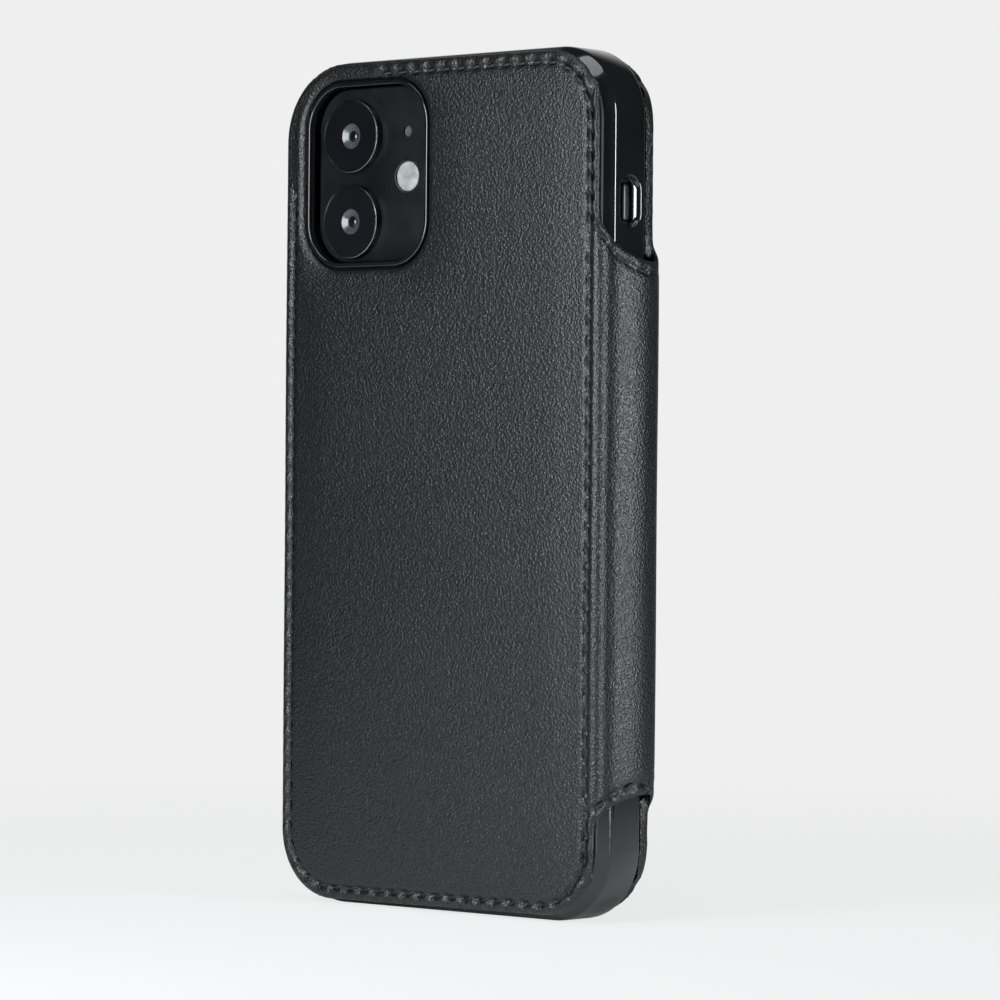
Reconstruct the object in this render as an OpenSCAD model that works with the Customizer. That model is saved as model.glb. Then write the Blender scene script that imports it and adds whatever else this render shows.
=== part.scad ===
// Phone wallet case: a book-style leather case with a hard shell tray that holds a 6.1-inch phone.
// Frame: +Z up along the case's height, X across its width, Y through its thickness. The back
// cover faces -Y, the spine is at +X, and the front cover is at +Y, closed. It stands on Z = 0.

/* [Phone] */
// Width of the phone
phone_w = 71.5; // [68:0.1:75]
// Height of the phone
phone_h = 146.7; // [140:0.1:152]
// Thickness of the phone's body, without its camera
phone_t = 7.4; // [7:0.1:8]
// Radius of the phone's corners, seen from the front
phone_corner = 10.8; // [9:0.1:12]
// Wall of the phone's metal band
band_wall = 1.6; // [1.4:0.1:2]
// Thickness of the phone's front and back glass
glass_t = 0.6; // [0.5:0.05:0.8]
// Distance that the volume and side buttons stand out
button_proud = 0.35; // [0.2:0.05:0.4]
// Travel of the volume and side buttons
button_travel = 0.25; // [0.15:0.05:0.3]
// Travel of the mute switch
switch_travel = 1.1; // [0.9:0.1:1.2]

/* [Phone camera] */
// Width of the raised camera block
plateau_w = 26.6; // [25:0.1:27]
// Height of the raised camera block
plateau_h = 31; // [29:0.1:31.2]
// Height of the camera block above the phone's back
plateau_rise = 2; // [1.5:0.1:2.2]
// Outer radius of a lens ring
lens_r = 6.55; // [6:0.05:6.8]
// Height of a lens ring above the camera block
lens_rise = 1.4; // [1:0.1:1.6]
// Distance between the two lenses
lens_pitch = 15.2; // [14.4:0.1:15.6]

/* [Shell] */
// Side wall of the hard shell
wall = 1.5; // [1.2:0.1:1.8]
// Back wall of the hard shell
shell_back = 1.9; // [1.6:0.1:2.2]
// Felt pad between the shell and the phone
felt_t = 0.4; // [0.3:0.05:0.5]
// Clearance round the phone
fit = 0.1; // [0.05:0.05:0.15]
// Height of the shell's rim above the screen
rim_rise = 0.3; // [0.2:0.05:0.4]
// Reach of the rim over the phone's edge
rim_reach = 0.5; // [0.3:0.1:0.8]

/* [Leather] */
// Thickness of the outer leather
leather = 1; // [0.8:0.05:1.2]
// Thickness of the stiffening boards
board = 0.5; // [0.4:0.05:0.6]
// Thickness of the back lining
lining = 0.4; // [0.3:0.05:0.5]
// Thickness of one pocket leaf
leaf = 0.3; // [0.25:0.05:0.35]
// Width of the back and front covers
cover_w = 74; // [73.4:0.1:74.4]
// Height of the back and front covers
cover_h = 148.3; // [147:0.1:148.8]
// Height of the covers' lower edge above the surface that the case stands on
cover_lift = 0.8; // [0.5:0.1:1.2]
// Corner radius of the covers
cover_corner = 12.5; // [11:0.1:13.5]

/* [Spine] */
// Gap between the shell's side and the spine
spine_gap = 0.3; // [0.25:0.05:0.4]
// Full thickness of the spine
spine_t = 1.55; // [1.4:0.05:1.7]
// Height of the spine's top edge at the front
spine_top = 113; // [111:0.5:115]
// Height of the spine's bottom edge at the front
spine_bottom = 21.9; // [19:0.1:24]

/* [Stitching] */
// Distance from one stitch to the next
stitch_pitch = 3.5; // [3:0.1:4]
// Distance of the stitch line from the edge
stitch_inset = 2.2; // [1.8:0.1:2.6]

/* [Hidden] */

// Shell outline
shell_w = phone_w + 2*(wall + fit);
shell_h = phone_h + 2*(wall + fit);
shell_corner = phone_corner + wall + fit;
shell_edge = 1.3;
rim_edge = 0.6;
slice = 0.04;
cavity_w = phone_w + 2*fit;
cavity_h = phone_h + 2*fit;
cavity_corner = phone_corner + fit;

// Depths, from the phone's mid-plane outwards
phone_mid = 0.8;
phone_back = phone_mid - phone_t/2;
phone_front = phone_mid + phone_t/2;
phone_base = wall + fit;
felt_back = phone_back - 0.05 - felt_t;
shell_outer = felt_back - shell_back;
rim_front = phone_front + rim_rise;
lining_outer = shell_outer - lining;
board_outer = lining_outer - board;
back_face = board_outer - leather;
plateau_face = phone_back - plateau_rise;

// Depths of the front cover, from its inside face outwards
cover_inside = rim_front + 0.25;
leaves_outer = cover_inside + 3*leaf;
cash_outer = leaves_outer + leaf;
cover_board_outer = cash_outer + board;
front_face = cover_board_outer + leather;
cover_rim = cover_inside + 0.45;
rim_band = 1.3;

// The spine and its two folds
spine_inside = shell_w/2 + spine_gap;
spine_face = spine_inside + spine_t;
spine_layer = 0.35;
fold_x = spine_face - leather;
fold_r = 0.9;
back_fold_y = back_face + leather;
front_fold_y = front_face - 1.4;
fold_run = 0.06;
board_set_back = 1.2;

// The camera window
window_x = -17.55;
window_z = 129.5;
window_w = 29.9;
window_h = 33.6;
window_corner = 8.5;
bezel_w = 29.3;
bezel_h = 32.9;
bezel_wall = 0.8;
bezel_face = back_face + 0.45;
plateau_x = -17.4;
plateau_corner = 7.3;
lens_x = plateau_x - 4.4;
lens_wall = 0.85;
flash_x = plateau_x + 8.1;
flash_r = 2.9;
flash_drop = 0.6;
mic_r = 1;

// Heights on the phone's sides
mute_z = 123;
mute_len = 6.5;
mute_w = 1.9;
volume_up_z = 107.5;
volume_down_z = 94.5;
volume_len = 9.6;
side_z = 102.3;
side_len = 18.5;
button_w = 2.2;
flange = 0.5;
flange_gap = 0.05;
button_room = flange_gap + flange + button_travel + 0.8;
slot_w = 4.2;
mute_slot = 9;
volume_slot = 26;
side_slot_len = 22;

// The charging port, the speaker holes beside it, and the shell's cut-out below them
port_w = 8.4;
port_t = 2.6;
port_wall = 0.4;
port_depth = 7;
tongue_w = 6.4;
tongue_t = 0.7;
grille_start = 8.5;
grille_pitch = 2.3;
grille_r = 0.7;
grille_last = 5;
cut_out_x = 20;
cut_out_r = 2.6;

// Stitch counts: the back cover's row stops short of the camera window at both ends
stitch_start = -14.6;
back_stitches = 106;
cover_stitches = 117;
groove_depth = 0.35;

// Card pockets
pocket_w = 66;
pocket_foot = 10;
pocket_mouths = [72, 88, 104];
pocket_seam = 1.8;

// The origin is under the middle of the whole case
case_x = -(spine_face - shell_w/2)/2;
case_y = -(front_face + back_face)/2;

// Colours
black_leather = [0.09, 0.09, 0.1];
dark_lining = [0.15, 0.15, 0.16];
thread = [0.03, 0.03, 0.03];
board_grey = [0.35, 0.34, 0.33];
glossy_black = [0.05, 0.05, 0.06];
phone_black = [0.12, 0.12, 0.13];

module placed() {
  translate([case_x, case_y, 0]) children();
}

// Turns a flat outline (X, Z) into a plate between two depths
module plate(y0, y1) {
  translate([0, y1, 0]) rotate([90, 0, 0]) linear_extrude(height = y1 - y0) children();
}

// A rounded rectangle centred on X and standing on Z = 0
module outline(w, h, r) {
  union() {
    translate([-w/2 + r, 0]) square([w - 2*r, h]);
    translate([-w/2, r]) square([w, h - 2*r]);
    for (x = [-1, 1], z = [r, h - r]) translate([x*(w/2 - r), z]) circle(r, $fn = 64);
  }
}

// A rounded rectangle about a middle point
module patch(x, z, w, h, r) {
  translate([x, z - h/2]) outline(w, h, r);
}

// A cover's outline, drawn in by inset
module cover_outline(inset) {
  translate([0, cover_lift + inset])
    outline(cover_w - 2*inset, cover_h - 2*inset, cover_corner - inset);
}

// A panel whose edge is rounded on one face, which is the one at y_face
module soft_panel(y_flat, y_face, round) {
  way = sign(y_face - y_flat);
  hull() {
    plate(min(y_flat, y_face - way*round), max(y_flat, y_face - way*round)) cover_outline(0);
    for (a = [30:30:90]) {
      y = y_face - way*round*(1 - sin(a));
      plate(min(y, y - slice*way), max(y, y - slice*way)) cover_outline(round*(1 - cos(a)));
    }
  }
}

// Where the stitch line has got to, as [x, z, angle], walking clockwise from (start_x, top)
function walk(s, start_x) =
  let (
    w = cover_w/2 - stitch_inset,
    r = cover_corner - stitch_inset,
    lo = cover_lift + stitch_inset,
    hi = cover_lift + cover_h - stitch_inset,
    a = w - r - start_x,
    b = a + r*PI/2,
    c = b + hi - lo - 2*r,
    d = c + r*PI/2,
    e = d + 2*(w - r),
    f = e + r*PI/2,
    g = f + hi - lo - 2*r,
    k = g + r*PI/2
  )
  s < a ? [start_x + s, hi, 0]
  : s < b ? let (t = (s - a)/r*180/PI) [w - r + r*sin(t), hi - r + r*cos(t), -t]
  : s < c ? [w, hi - r - (s - b), -90]
  : s < d ? let (t = (s - c)/r*180/PI) [w - r + r*cos(t), lo + r - r*sin(t), -90 - t]
  : s < e ? [w - r - (s - d), lo, 180]
  : s < f ? let (t = (s - e)/r*180/PI) [-w + r - r*sin(t), lo + r - r*cos(t), 180 - t]
  : s < g ? [-w, lo + r + (s - f), 90]
  : s < k ? let (t = (s - g)/r*180/PI) [-w + r - r*cos(t), hi - r + r*sin(t), 90 - t]
  : [-w + r + (s - k), hi, 0];

// A row of stitches on a cover, lying in its groove between two depths
module stitch_row(count, start_x, y0, y1) {
  for (i = [0:count - 1]) {
    p = walk((i + 0.5)*stitch_pitch, start_x);
    translate([p[0], 0, p[1]]) rotate([0, -p[2] + 6, 0])
      translate([-1.25, y0, -0.3]) cube([2.5, y1 - y0, 0.6]);
  }
}

// The groove that a cover's stitches lie in
module stitch_groove(y0, y1) {
  plate(y0, y1) difference() {
    cover_outline(stitch_inset - 0.5);
    cover_outline(stitch_inset + 0.5);
  }
}

// ---- Back cover ----

module back_leather() {
  color(black_leather) placed() difference() {
    soft_panel(board_outer, back_face, 0.7);
    plate(back_face - 1, board_outer + 1) patch(window_x, window_z, window_w, window_h, window_corner);
    difference() {
      stitch_groove(back_face - 1, back_face + groove_depth);
      translate([-cover_w, back_face - 2, window_z - 2])
        cube([cover_w + window_x + 3, 4, cover_h]);
    }
  }
}

module back_board() {
  color(board_grey) placed() plate(board_outer, lining_outer) difference() {
    cover_outline(1.2);
    patch(window_x, window_z, window_w + 1.4, window_h + 1.4, window_corner + 0.7);
  }
}

module back_lining() {
  color(dark_lining) placed() plate(lining_outer, shell_outer) difference() {
    cover_outline(0.3);
    patch(window_x, window_z, window_w, window_h, window_corner);
  }
}

module back_stitching() {
  color(thread) placed() stitch_row(back_stitches, stitch_start, back_face + 0.1, back_face + groove_depth);
}

// ---- Hard shell ----

// The shell's outline, drawn in by inset
module shell_outline(inset) {
  translate([0, inset]) outline(shell_w - 2*inset, shell_h - 2*inset, shell_corner - inset);
}

// The shell before it is hollowed out: round back edges and a small round at the rim
module shell_blank() {
  hull() {
    plate(shell_outer + shell_edge, rim_front - rim_edge) shell_outline(0);
    for (a = [30:30:90]) {
      back_y = shell_outer + shell_edge*(1 - sin(a));
      rim_y = rim_front - rim_edge*(1 - sin(a));
      plate(back_y, back_y + slice) shell_outline(shell_edge*(1 - cos(a)));
      plate(rim_y - slice, rim_y) shell_outline(rim_edge*(1 - cos(a)));
    }
  }
}

module cavity(inset, y0, y1) {
  plate(y0, y1) translate([0, phone_base - fit + inset])
    outline(cavity_w - 2*inset, cavity_h - 2*inset, cavity_corner - inset);
}

// A round-ended slot through a side wall, from x0 to x1
module side_slot(x0, x1, z, len, w) {
  translate([x0, 0, 0]) rotate([90, 0, 90]) linear_extrude(height = x1 - x0)
    union() {
      translate([phone_mid - w/2, z - len/2 + w/2]) square([w, len - w]);
      for (s = [-1, 1]) translate([phone_mid, z + s*(len/2 - w/2)]) circle(w/2, $fn = 48);
    }
}

module shell() {
  color(glossy_black) placed() difference() {
    union() {
      shell_blank();
      plate(bezel_face, shell_outer + 0.2) patch(window_x, window_z, bezel_w, bezel_h, window_corner - 0.3);
    }
    cavity(0, felt_back, phone_front + 0.1);
    cavity(rim_reach, phone_front, rim_front + 1);
    plate(bezel_face - 1, felt_back + 1)
      patch(window_x, window_z, bezel_w - 2*bezel_wall, bezel_h - 2*bezel_wall, window_corner - 1.1);
    side_slot(cavity_w/2 - 1, shell_w/2 + 1, mute_z, mute_slot, slot_w);
    side_slot(cavity_w/2 - 1, shell_w/2 + 1, (volume_up_z + volume_down_z)/2, volume_slot, slot_w);
    side_slot(-shell_w/2 - 1, -cavity_w/2 + 1, side_z, side_slot_len, slot_w);
    for (s = [-1, 1]) translate([s*cut_out_x, phone_mid, -1]) cylinder(r = cut_out_r, h = 4, $fn = 48);
    translate([-cut_out_x, phone_mid - cut_out_r, -1]) cube([2*cut_out_x, 2*cut_out_r, 4]);
  }
}

module shell_felt() {
  color(dark_lining) placed() difference() {
    cavity(1.2, felt_back, felt_back + felt_t);
    plate(felt_back - 1, felt_back + 1) patch(window_x, window_z, bezel_w, bezel_h, window_corner - 0.3);
  }
}

// ---- Phone ----

module phone_outline(inset) {
  translate([0, phone_base + inset])
    outline(phone_w - 2*inset, phone_h - 2*inset, phone_corner - inset);
}

module phone_band() {
  color(phone_black) placed() difference() {
    plate(phone_back + glass_t, phone_front - glass_t) difference() {
      phone_outline(0);
      phone_outline(band_wall);
    }
    for (z = [volume_up_z, volume_down_z])
      side_slot(phone_w/2 - 3, phone_w/2 + 1, z, volume_len + 0.2, button_w + 0.2);
    side_slot(-phone_w/2 - 1, -phone_w/2 + 3, side_z, side_len + 0.2, button_w + 0.2);
    translate([phone_w/2 - 3, phone_mid - mute_w/2 - switch_travel/2 - 0.05, mute_z - mute_len/2 - 0.05])
      cube([4, mute_w + switch_travel + 0.1, mute_len + 0.1]);
    translate([-port_w/2, phone_mid - port_t/2, phone_base - 1]) cube([port_w, port_t, 4]);
    for (s = [-1, 1], i = [0:grille_last])
      translate([s*(grille_start + grille_pitch*i), phone_mid, phone_base - 1])
        cylinder(r = grille_r, h = 4, $fn = 24);
  }
}

module phone_back_glass() {
  color(phone_black) placed() plate(phone_back, phone_back + glass_t) phone_outline(0.35);
}

module phone_screen() {
  color([0.02, 0.02, 0.03]) placed() plate(phone_front - glass_t, phone_front) phone_outline(0.35);
}

module phone_inner_block() {
  color(board_grey) placed() difference() {
    plate(phone_back + glass_t, phone_front - glass_t) phone_outline(band_wall + button_room);
    translate([-port_w/2 - 2*port_wall, phone_mid - port_t/2 - 2*port_wall + 0.1, phone_base])
      cube([port_w + 4*port_wall, port_t + 4*port_wall - 0.2, band_wall + port_depth + port_wall]);
  }
}

module phone_port() {
  color([0.5, 0.5, 0.52]) placed() difference() {
    translate([-port_w/2 - port_wall, phone_mid - port_t/2 - port_wall, phone_base + band_wall])
      cube([port_w + 2*port_wall, port_t + 2*port_wall, port_depth]);
    difference() {
      translate([-port_w/2, phone_mid - port_t/2, phone_base + band_wall - 1])
        cube([port_w, port_t, port_depth + 0.2]);
      translate([-tongue_w/2, phone_mid - tongue_t/2, phone_base + band_wall + port_wall])
        cube([tongue_w, tongue_t, port_depth]);
    }
  }
}

module phone_camera_plateau() {
  color(phone_black) placed() difference() {
    plate(plateau_face, phone_back) patch(plateau_x, window_z, plateau_w, plateau_h, plateau_corner);
    translate([flash_x, plateau_face - 1, window_z - 0.6]) rotate([-90, 0, 0])
      cylinder(r = flash_r + 0.05, h = 1 + flash_drop, $fn = 48);
    translate([flash_x, plateau_face - 1, window_z + 7.3]) rotate([-90, 0, 0])
      cylinder(r = mic_r + 0.05, h = 1 + flash_drop, $fn = 32);
  }
}

// A disc on the camera block, from depth y0 to y1
module camera_disc(x, z, r, y0, y1) {
  translate([x, y0, z]) rotate([-90, 0, 0]) cylinder(r = r, h = y1 - y0, $fn = 72);
}

module lens_ring(side) {
  z = window_z - 0.7 + side*lens_pitch/2;
  color([0.25, 0.25, 0.27]) placed() difference() {
    camera_disc(lens_x, z, lens_r, plateau_face - lens_rise, plateau_face);
    camera_disc(lens_x, z, lens_r - lens_wall, plateau_face - lens_rise - 1, plateau_face + 1);
  }
}

module lens_glass(side) {
  z = window_z - 0.7 + side*lens_pitch/2;
  color([0.01, 0.01, 0.02]) placed()
    camera_disc(lens_x, z, lens_r - lens_wall - 0.02, plateau_face - lens_rise + 0.2, plateau_face);
}

module phone_lens_ring_upper() { lens_ring(1); }
module phone_lens_ring_lower() { lens_ring(-1); }
module phone_lens_glass_upper() { lens_glass(1); }
module phone_lens_glass_lower() { lens_glass(-1); }

module phone_flash() {
  color([0.9, 0.88, 0.84]) placed()
    camera_disc(flash_x, window_z - 0.6, flash_r, plateau_face + 0.05, plateau_face + flash_drop);
}

module phone_microphone() {
  color([0.02, 0.02, 0.02]) placed()
    camera_disc(flash_x, window_z + 7.3, mic_r, plateau_face + 0.25, plateau_face + flash_drop);
}

// A sprung button: a round-ended cap through the band, and a flange behind it
module side_button(side, z, len) {
  outer = side*(phone_w/2 + button_proud);
  behind = side*(phone_w/2 - band_wall - flange_gap);
  inner = behind - side*flange;
  side_slot(min(outer, behind), max(outer, behind), z, len, button_w);
  side_slot(min(behind, inner), max(behind, inner), z, len + 1, button_w + 1);
}

module phone_volume_up() { color(phone_black) placed() side_button(1, volume_up_z, volume_len); }
module phone_volume_down() { color(phone_black) placed() side_button(1, volume_down_z, volume_len); }
module phone_side_button() { color(phone_black) placed() side_button(-1, side_z, side_len); }

// The mute switch rests at the screen end of its slot, and slides towards the back
module phone_mute_switch() {
  color(phone_black) placed()
    translate([phone_w/2 - 1.3, phone_mid + switch_travel/2 - mute_w/2, mute_z - mute_len/2])
      cube([1.3 + 0.3, mute_w, mute_len]);
}

// ---- Spine ----

// Height of the spine's top edge at depth y: it climbs towards the back cover
function top_edge(y) = spine_top + 0.05*pow(max(0, 4.5 - y), 2);
// Height of the spine's bottom edge at depth y: it drops towards the back cover
function bottom_edge(y) = spine_bottom - 0.032*pow(max(0, 4.5 - y), 2);

spine_y0 = back_fold_y + 0.3;
spine_y1 = front_fold_y - 0.3;
edge_steps = 16;

// The spine's outline (Y, Z), with its two ends drawn in
module spine_outline(draw_in) {
  step = (spine_y1 - spine_y0)/edge_steps;
  polygon(concat(
    [for (i = [0:edge_steps]) [spine_y0 + i*step, bottom_edge(spine_y0 + i*step) + draw_in]],
    [for (i = [edge_steps:-1:0]) [spine_y0 + i*step, top_edge(spine_y0 + i*step) - draw_in]]
  ));
}

// One layer of the spine between two distances from the middle, which ends set_back from both folds
module spine_slab(x0, x1, draw_in, set_back) {
  difference() {
    translate([x0, 0, 0]) rotate([90, 0, 90]) linear_extrude(height = x1 - x0) spine_outline(draw_in);
    for (y = [back_fold_y, front_fold_y])
      translate([fold_x, y, 0]) cylinder(r = fold_r + fold_run + set_back, h = shell_h, $fn = 48);
  }
}

// A row of five stitches beside one end of the spine
module spine_stitches(top, size, x0, x1) {
  for (i = [0:4]) {
    y = spine_y0 + 1.6 + i*2.2;
    z = top ? top_edge(y) - stitch_inset : bottom_edge(y) + stitch_inset;
    slope = atan(top ? -0.1*max(0, 4.5 - y) : 0.064*max(0, 4.5 - y));
    translate([x0, y, z]) rotate([slope, 0, 0])
      translate([0, -0.8 - size, -0.3 - size]) cube([x1 - x0, 1.6 + 2*size, 0.6 + 2*size]);
  }
}

module spine_leather() {
  color(black_leather) placed() difference() {
    spine_slab(spine_inside + 2*spine_layer, spine_face, 0, 0);
    for (top = [true, false]) spine_stitches(top, 0.1, spine_face - 0.3, spine_face + 1);
  }
}

module spine_board() {
  color(board_grey) placed()
    spine_slab(spine_inside + spine_layer, spine_inside + 2*spine_layer, 1, board_set_back);
}

module spine_lining() {
  color(dark_lining) placed()
    spine_slab(spine_inside, spine_inside + spine_layer, 0.3, board_set_back);
}

module spine_stitching() {
  color(thread) placed()
    for (top = [true, false]) spine_stitches(top, 0, spine_face - 0.28, spine_face - 0.05);
}

// The soft fold of leather that a cover turns on
module fold(y) {
  translate([fold_x, y, bottom_edge(y)]) cylinder(r = fold_r, h = top_edge(y) - bottom_edge(y), $fn = 48);
}

module back_fold() { color(black_leather) placed() fold(back_fold_y); }
module front_fold() { color(black_leather) placed() fold(front_fold_y); }

// ---- Front cover ----

module cover_leather() {
  color(black_leather) placed() difference() {
    soft_panel(cover_rim, front_face, 0.9);
    plate(cover_rim - 1, cover_board_outer) cover_outline(rim_band);
    stitch_groove(front_face - groove_depth, front_face + 1);
  }
}

module cover_board() {
  color(board_grey) placed() plate(cash_outer, cover_board_outer) cover_outline(rim_band + 0.1);
}

module cover_stitching() {
  color(thread) placed() stitch_row(cover_stitches, stitch_start, front_face - groove_depth, front_face - 0.1);
}

// The full sheet behind the cards, which is the lining and the cash pocket in one
module cash_pocket() {
  color(dark_lining) placed() plate(leaves_outer, cash_outer) cover_outline(rim_band + 0.1);
}

// One leaf: level 0 is nearest the screen and has the lowest mouth
module card_leaf(level) {
  y0 = cover_inside + level*leaf;
  plate(y0, y0 + leaf) difference() {
    translate([0, pocket_foot]) outline(pocket_w, pocket_mouths[level] - pocket_foot, 2);
    patch(0, pocket_mouths[level] + 1.6, 18, 8, 3.9);
  }
}

module card_pocket_low() { color(black_leather) placed() card_leaf(0); }
module card_pocket_middle() { color(black_leather) placed() card_leaf(1); }
module card_pocket_high() { color(black_leather) placed() card_leaf(2); }

// Rows of stitches down both sides of the lowest leaf, lying on it
module pocket_stitching() {
  rows = floor((pocket_mouths[0] - pocket_foot - 6)/stitch_pitch);
  color(thread) placed() for (s = [-1, 1], i = [0:rows])
    translate([s*(pocket_w/2 - pocket_seam) - 0.25, cover_inside - 0.12, pocket_foot + 3 + i*stitch_pitch])
      cube([0.5, 0.12, 2.4]);
}

back_leather();
back_board();
back_lining();
back_stitching();
shell();
shell_felt();
phone_band();
phone_back_glass();
phone_screen();
phone_inner_block();
phone_port();
phone_camera_plateau();
phone_lens_ring_upper();
phone_lens_ring_lower();
phone_lens_glass_upper();
phone_lens_glass_lower();
phone_flash();
phone_microphone();
phone_mute_switch();
phone_volume_up();
phone_volume_down();
phone_side_button();
spine_leather();
spine_board();
spine_lining();
spine_stitching();
back_fold();
front_fold();
cover_leather();
cover_board();
cover_stitching();
cash_pocket();
card_pocket_low();
card_pocket_middle();
card_pocket_high();
pocket_stitching();
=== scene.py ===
# %% [markdown]
# # A leather phone wallet case
#
# The case is three leather panels (back cover, spine, front cover) round a hard glossy tray that
# The imported CAD model gives the sizes and places. This script makes the pieces that
# are seen, in metres, in the same frame; most pieces ride on the CAD body that carries them, while
# the two hides and the spine's end stitches stay where they are made.

# %% Load the frame
import bpy
import bmesh
import math
import numpy as np
from mathutils import Vector, Matrix
from mathutils.geometry import delaunay_2d_cdt


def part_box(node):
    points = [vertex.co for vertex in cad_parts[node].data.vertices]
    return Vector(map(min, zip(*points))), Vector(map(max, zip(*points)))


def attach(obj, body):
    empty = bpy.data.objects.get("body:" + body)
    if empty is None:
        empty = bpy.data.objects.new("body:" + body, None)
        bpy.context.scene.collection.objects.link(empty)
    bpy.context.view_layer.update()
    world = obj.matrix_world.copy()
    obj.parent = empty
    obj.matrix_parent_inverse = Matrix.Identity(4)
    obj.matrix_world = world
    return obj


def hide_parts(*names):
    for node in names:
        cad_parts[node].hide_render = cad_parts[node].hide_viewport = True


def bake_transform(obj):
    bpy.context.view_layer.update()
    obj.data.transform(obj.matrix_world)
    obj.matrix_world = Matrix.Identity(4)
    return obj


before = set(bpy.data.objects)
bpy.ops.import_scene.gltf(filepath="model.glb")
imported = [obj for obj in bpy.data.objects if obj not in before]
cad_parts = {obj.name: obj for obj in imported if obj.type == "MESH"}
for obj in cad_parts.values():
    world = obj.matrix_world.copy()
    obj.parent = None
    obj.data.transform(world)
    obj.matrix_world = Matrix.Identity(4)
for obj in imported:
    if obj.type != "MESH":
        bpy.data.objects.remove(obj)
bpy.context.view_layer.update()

# %% [markdown]
# ## Sizes from the frame
#
# The boxes of the CAD nodes say where each layer starts and ends. Lengths below are millimetres,
# and X is counted from the middle of the tray, which makes left and right alike. `solid` turns a
# list of such points into a mesh object in metres.

# %% Places read from the CAD boxes
MM = 0.001


def span(name, axis):
    """Where a CAD node starts and ends along X (0), Y (1) or Z (2)."""
    low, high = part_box(name)
    return low[axis] / MM, high[axis] / MM


def middle(name, axis):
    return sum(span(name, axis)) / 2


def extent(name, axis):
    low, high = span(name, axis)
    return high - low


centre_x = middle("shell", 0)
shell_w = extent("shell", 0)
shell_h = span("shell", 2)[1]
bezel_face, rim_front = span("shell", 1)
back_face = span("back_leather", 1)[0]
lining_outer, shell_outer = span("back_lining", 1)
front_face = span("cover_leather", 1)[1]
cover_bottom, cover_top = span("cover_leather", 2)
cover_half = extent("cover_leather", 0) / 2
print("tray:", round(shell_w, 2), "x", round(shell_h, 2), "mm; leather face at", round(back_face, 2))

# %% Points to a mesh object
def metres(points):
    return [((x + centre_x) * MM, y * MM, z * MM) for x, y, z in points]


def in_scene(name, data):
    made = bpy.data.objects.new(name, data)
    bpy.context.scene.collection.objects.link(made)
    return made


def smooth(mesh, sharp_over=35):
    """Smooth shading, with a crisp line where faces meet at more than sharp_over degrees."""
    mesh.polygons.foreach_set("use_smooth", [True] * len(mesh.polygons))
    mesh.set_sharp_from_angle(angle=math.radians(sharp_over))


def solid(name, points, faces, sharp_over=40):
    mesh = bpy.data.meshes.new(name)
    mesh.from_pydata(metres(points), [], faces)
    smooth(mesh, sharp_over)
    return in_scene(name, mesh)


# %% Edits to a finished mesh
def outward(piece, merge=None):
    """Turns a closed mesh's faces outwards, once points closer than merge metres are one point."""
    mesh = bmesh.new()
    mesh.from_mesh(piece.data)
    if merge:
        bmesh.ops.remove_doubles(mesh, verts=mesh.verts, dist=merge)
    bmesh.ops.recalc_face_normals(mesh, faces=mesh.faces)
    mesh.to_mesh(piece.data)
    mesh.free()
    return piece


def made_plain(piece):
    """Keeps what the modifiers make as the piece's own mesh, and takes the modifiers off."""
    bpy.context.view_layer.update()
    evaluated = piece.evaluated_get(bpy.context.evaluated_depsgraph_get())
    plain = bpy.data.meshes.new_from_object(evaluated)
    piece.modifiers.clear()
    piece.data = plain
    return plain


def finish_piece(piece, material, slot, body, *nodes):
    piece.data.materials.clear()
    piece.data.materials.append(material)
    if body:
        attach(piece, body)
    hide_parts(*nodes)
    print(piece.name, len(piece.data.polygons), "faces")


# %% [markdown]
# ## The camera
#
# A long lens stands level with the middle of the case, about 42 degrees round from its back, so
# the back cover and the spine side are both in view.

# %% Camera
middle_y = -0.3                      # halfway through the closed case
orbit = math.radians(42.07)          # round from the back
distance, camera_height = 811.8, 72.01
turn, roll = math.radians(0.468), math.radians(0.489)
lens_length, sensor_width = 166.51, 36

ahead = Vector((-math.sin(orbit), math.cos(orbit), 0))
right = Vector((math.cos(orbit), math.sin(orbit), 0))
up = Vector((0, 0, 1))
forward = ahead * math.cos(turn) + right * math.sin(turn)
level = right * math.cos(turn) - ahead * math.sin(turn)
camera_right = level * math.cos(roll) + up * math.sin(roll)
camera_up = up * math.cos(roll) - level * math.sin(roll)

camera = in_scene("camera", bpy.data.cameras.new("camera"))
camera.data.lens, camera.data.sensor_width = lens_length, sensor_width
place = Vector((centre_x, middle_y, camera_height)) - ahead * distance
rotation = Matrix((camera_right, camera_up, -forward)).transposed().to_4x4()
camera.matrix_world = Matrix.Translation(place * MM) @ rotation
bpy.context.scene.camera = camera
print("camera at", [round(value, 3) for value in camera.location])

# %% [markdown]
# ## Shader helpers
#
# Each finish is one Principled shader. What varies over the surface (grain, cloudiness and
# fingermarks) comes from node groups, which are built once and used with other sizes on other
# finishes. Their patterns read Object coordinates, so they stay put on the piece when it moves.

# %% Node helpers
def node(tree, kind, at=(0, 0), **settings):
    made = tree.nodes.new(kind)
    made.location = at
    for name, value in settings.items():
        setattr(made, name, value)
    return made


def feed(tree, value, socket):
    """Joins another node's output to a socket, or sets a plain number on it."""
    if hasattr(value, "is_output"):
        tree.links.new(value, socket)
    else:
        socket.default_value = value


def effect_group(name, inputs, outputs):
    group = bpy.data.node_groups.new(name, "ShaderNodeTree")
    for title, default in inputs.items():
        socket = group.interface.new_socket(title, in_out="INPUT", socket_type="NodeSocketFloat")
        socket.default_value = default
    for title in outputs:
        group.interface.new_socket(title, in_out="OUTPUT", socket_type="NodeSocketFloat")
    source = node(group, "NodeGroupInput", (-900, 0))
    result = node(group, "NodeGroupOutput", (600, 0))
    return group, source, result


def maths(tree, operation, first, second, at=(0, 0), clamp=False):
    made = node(tree, "ShaderNodeMath", at, operation=operation, use_clamp=clamp)
    for socket, value in zip(made.inputs, (first, second)):
        feed(tree, value, socket)
    return made.outputs[0]


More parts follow.
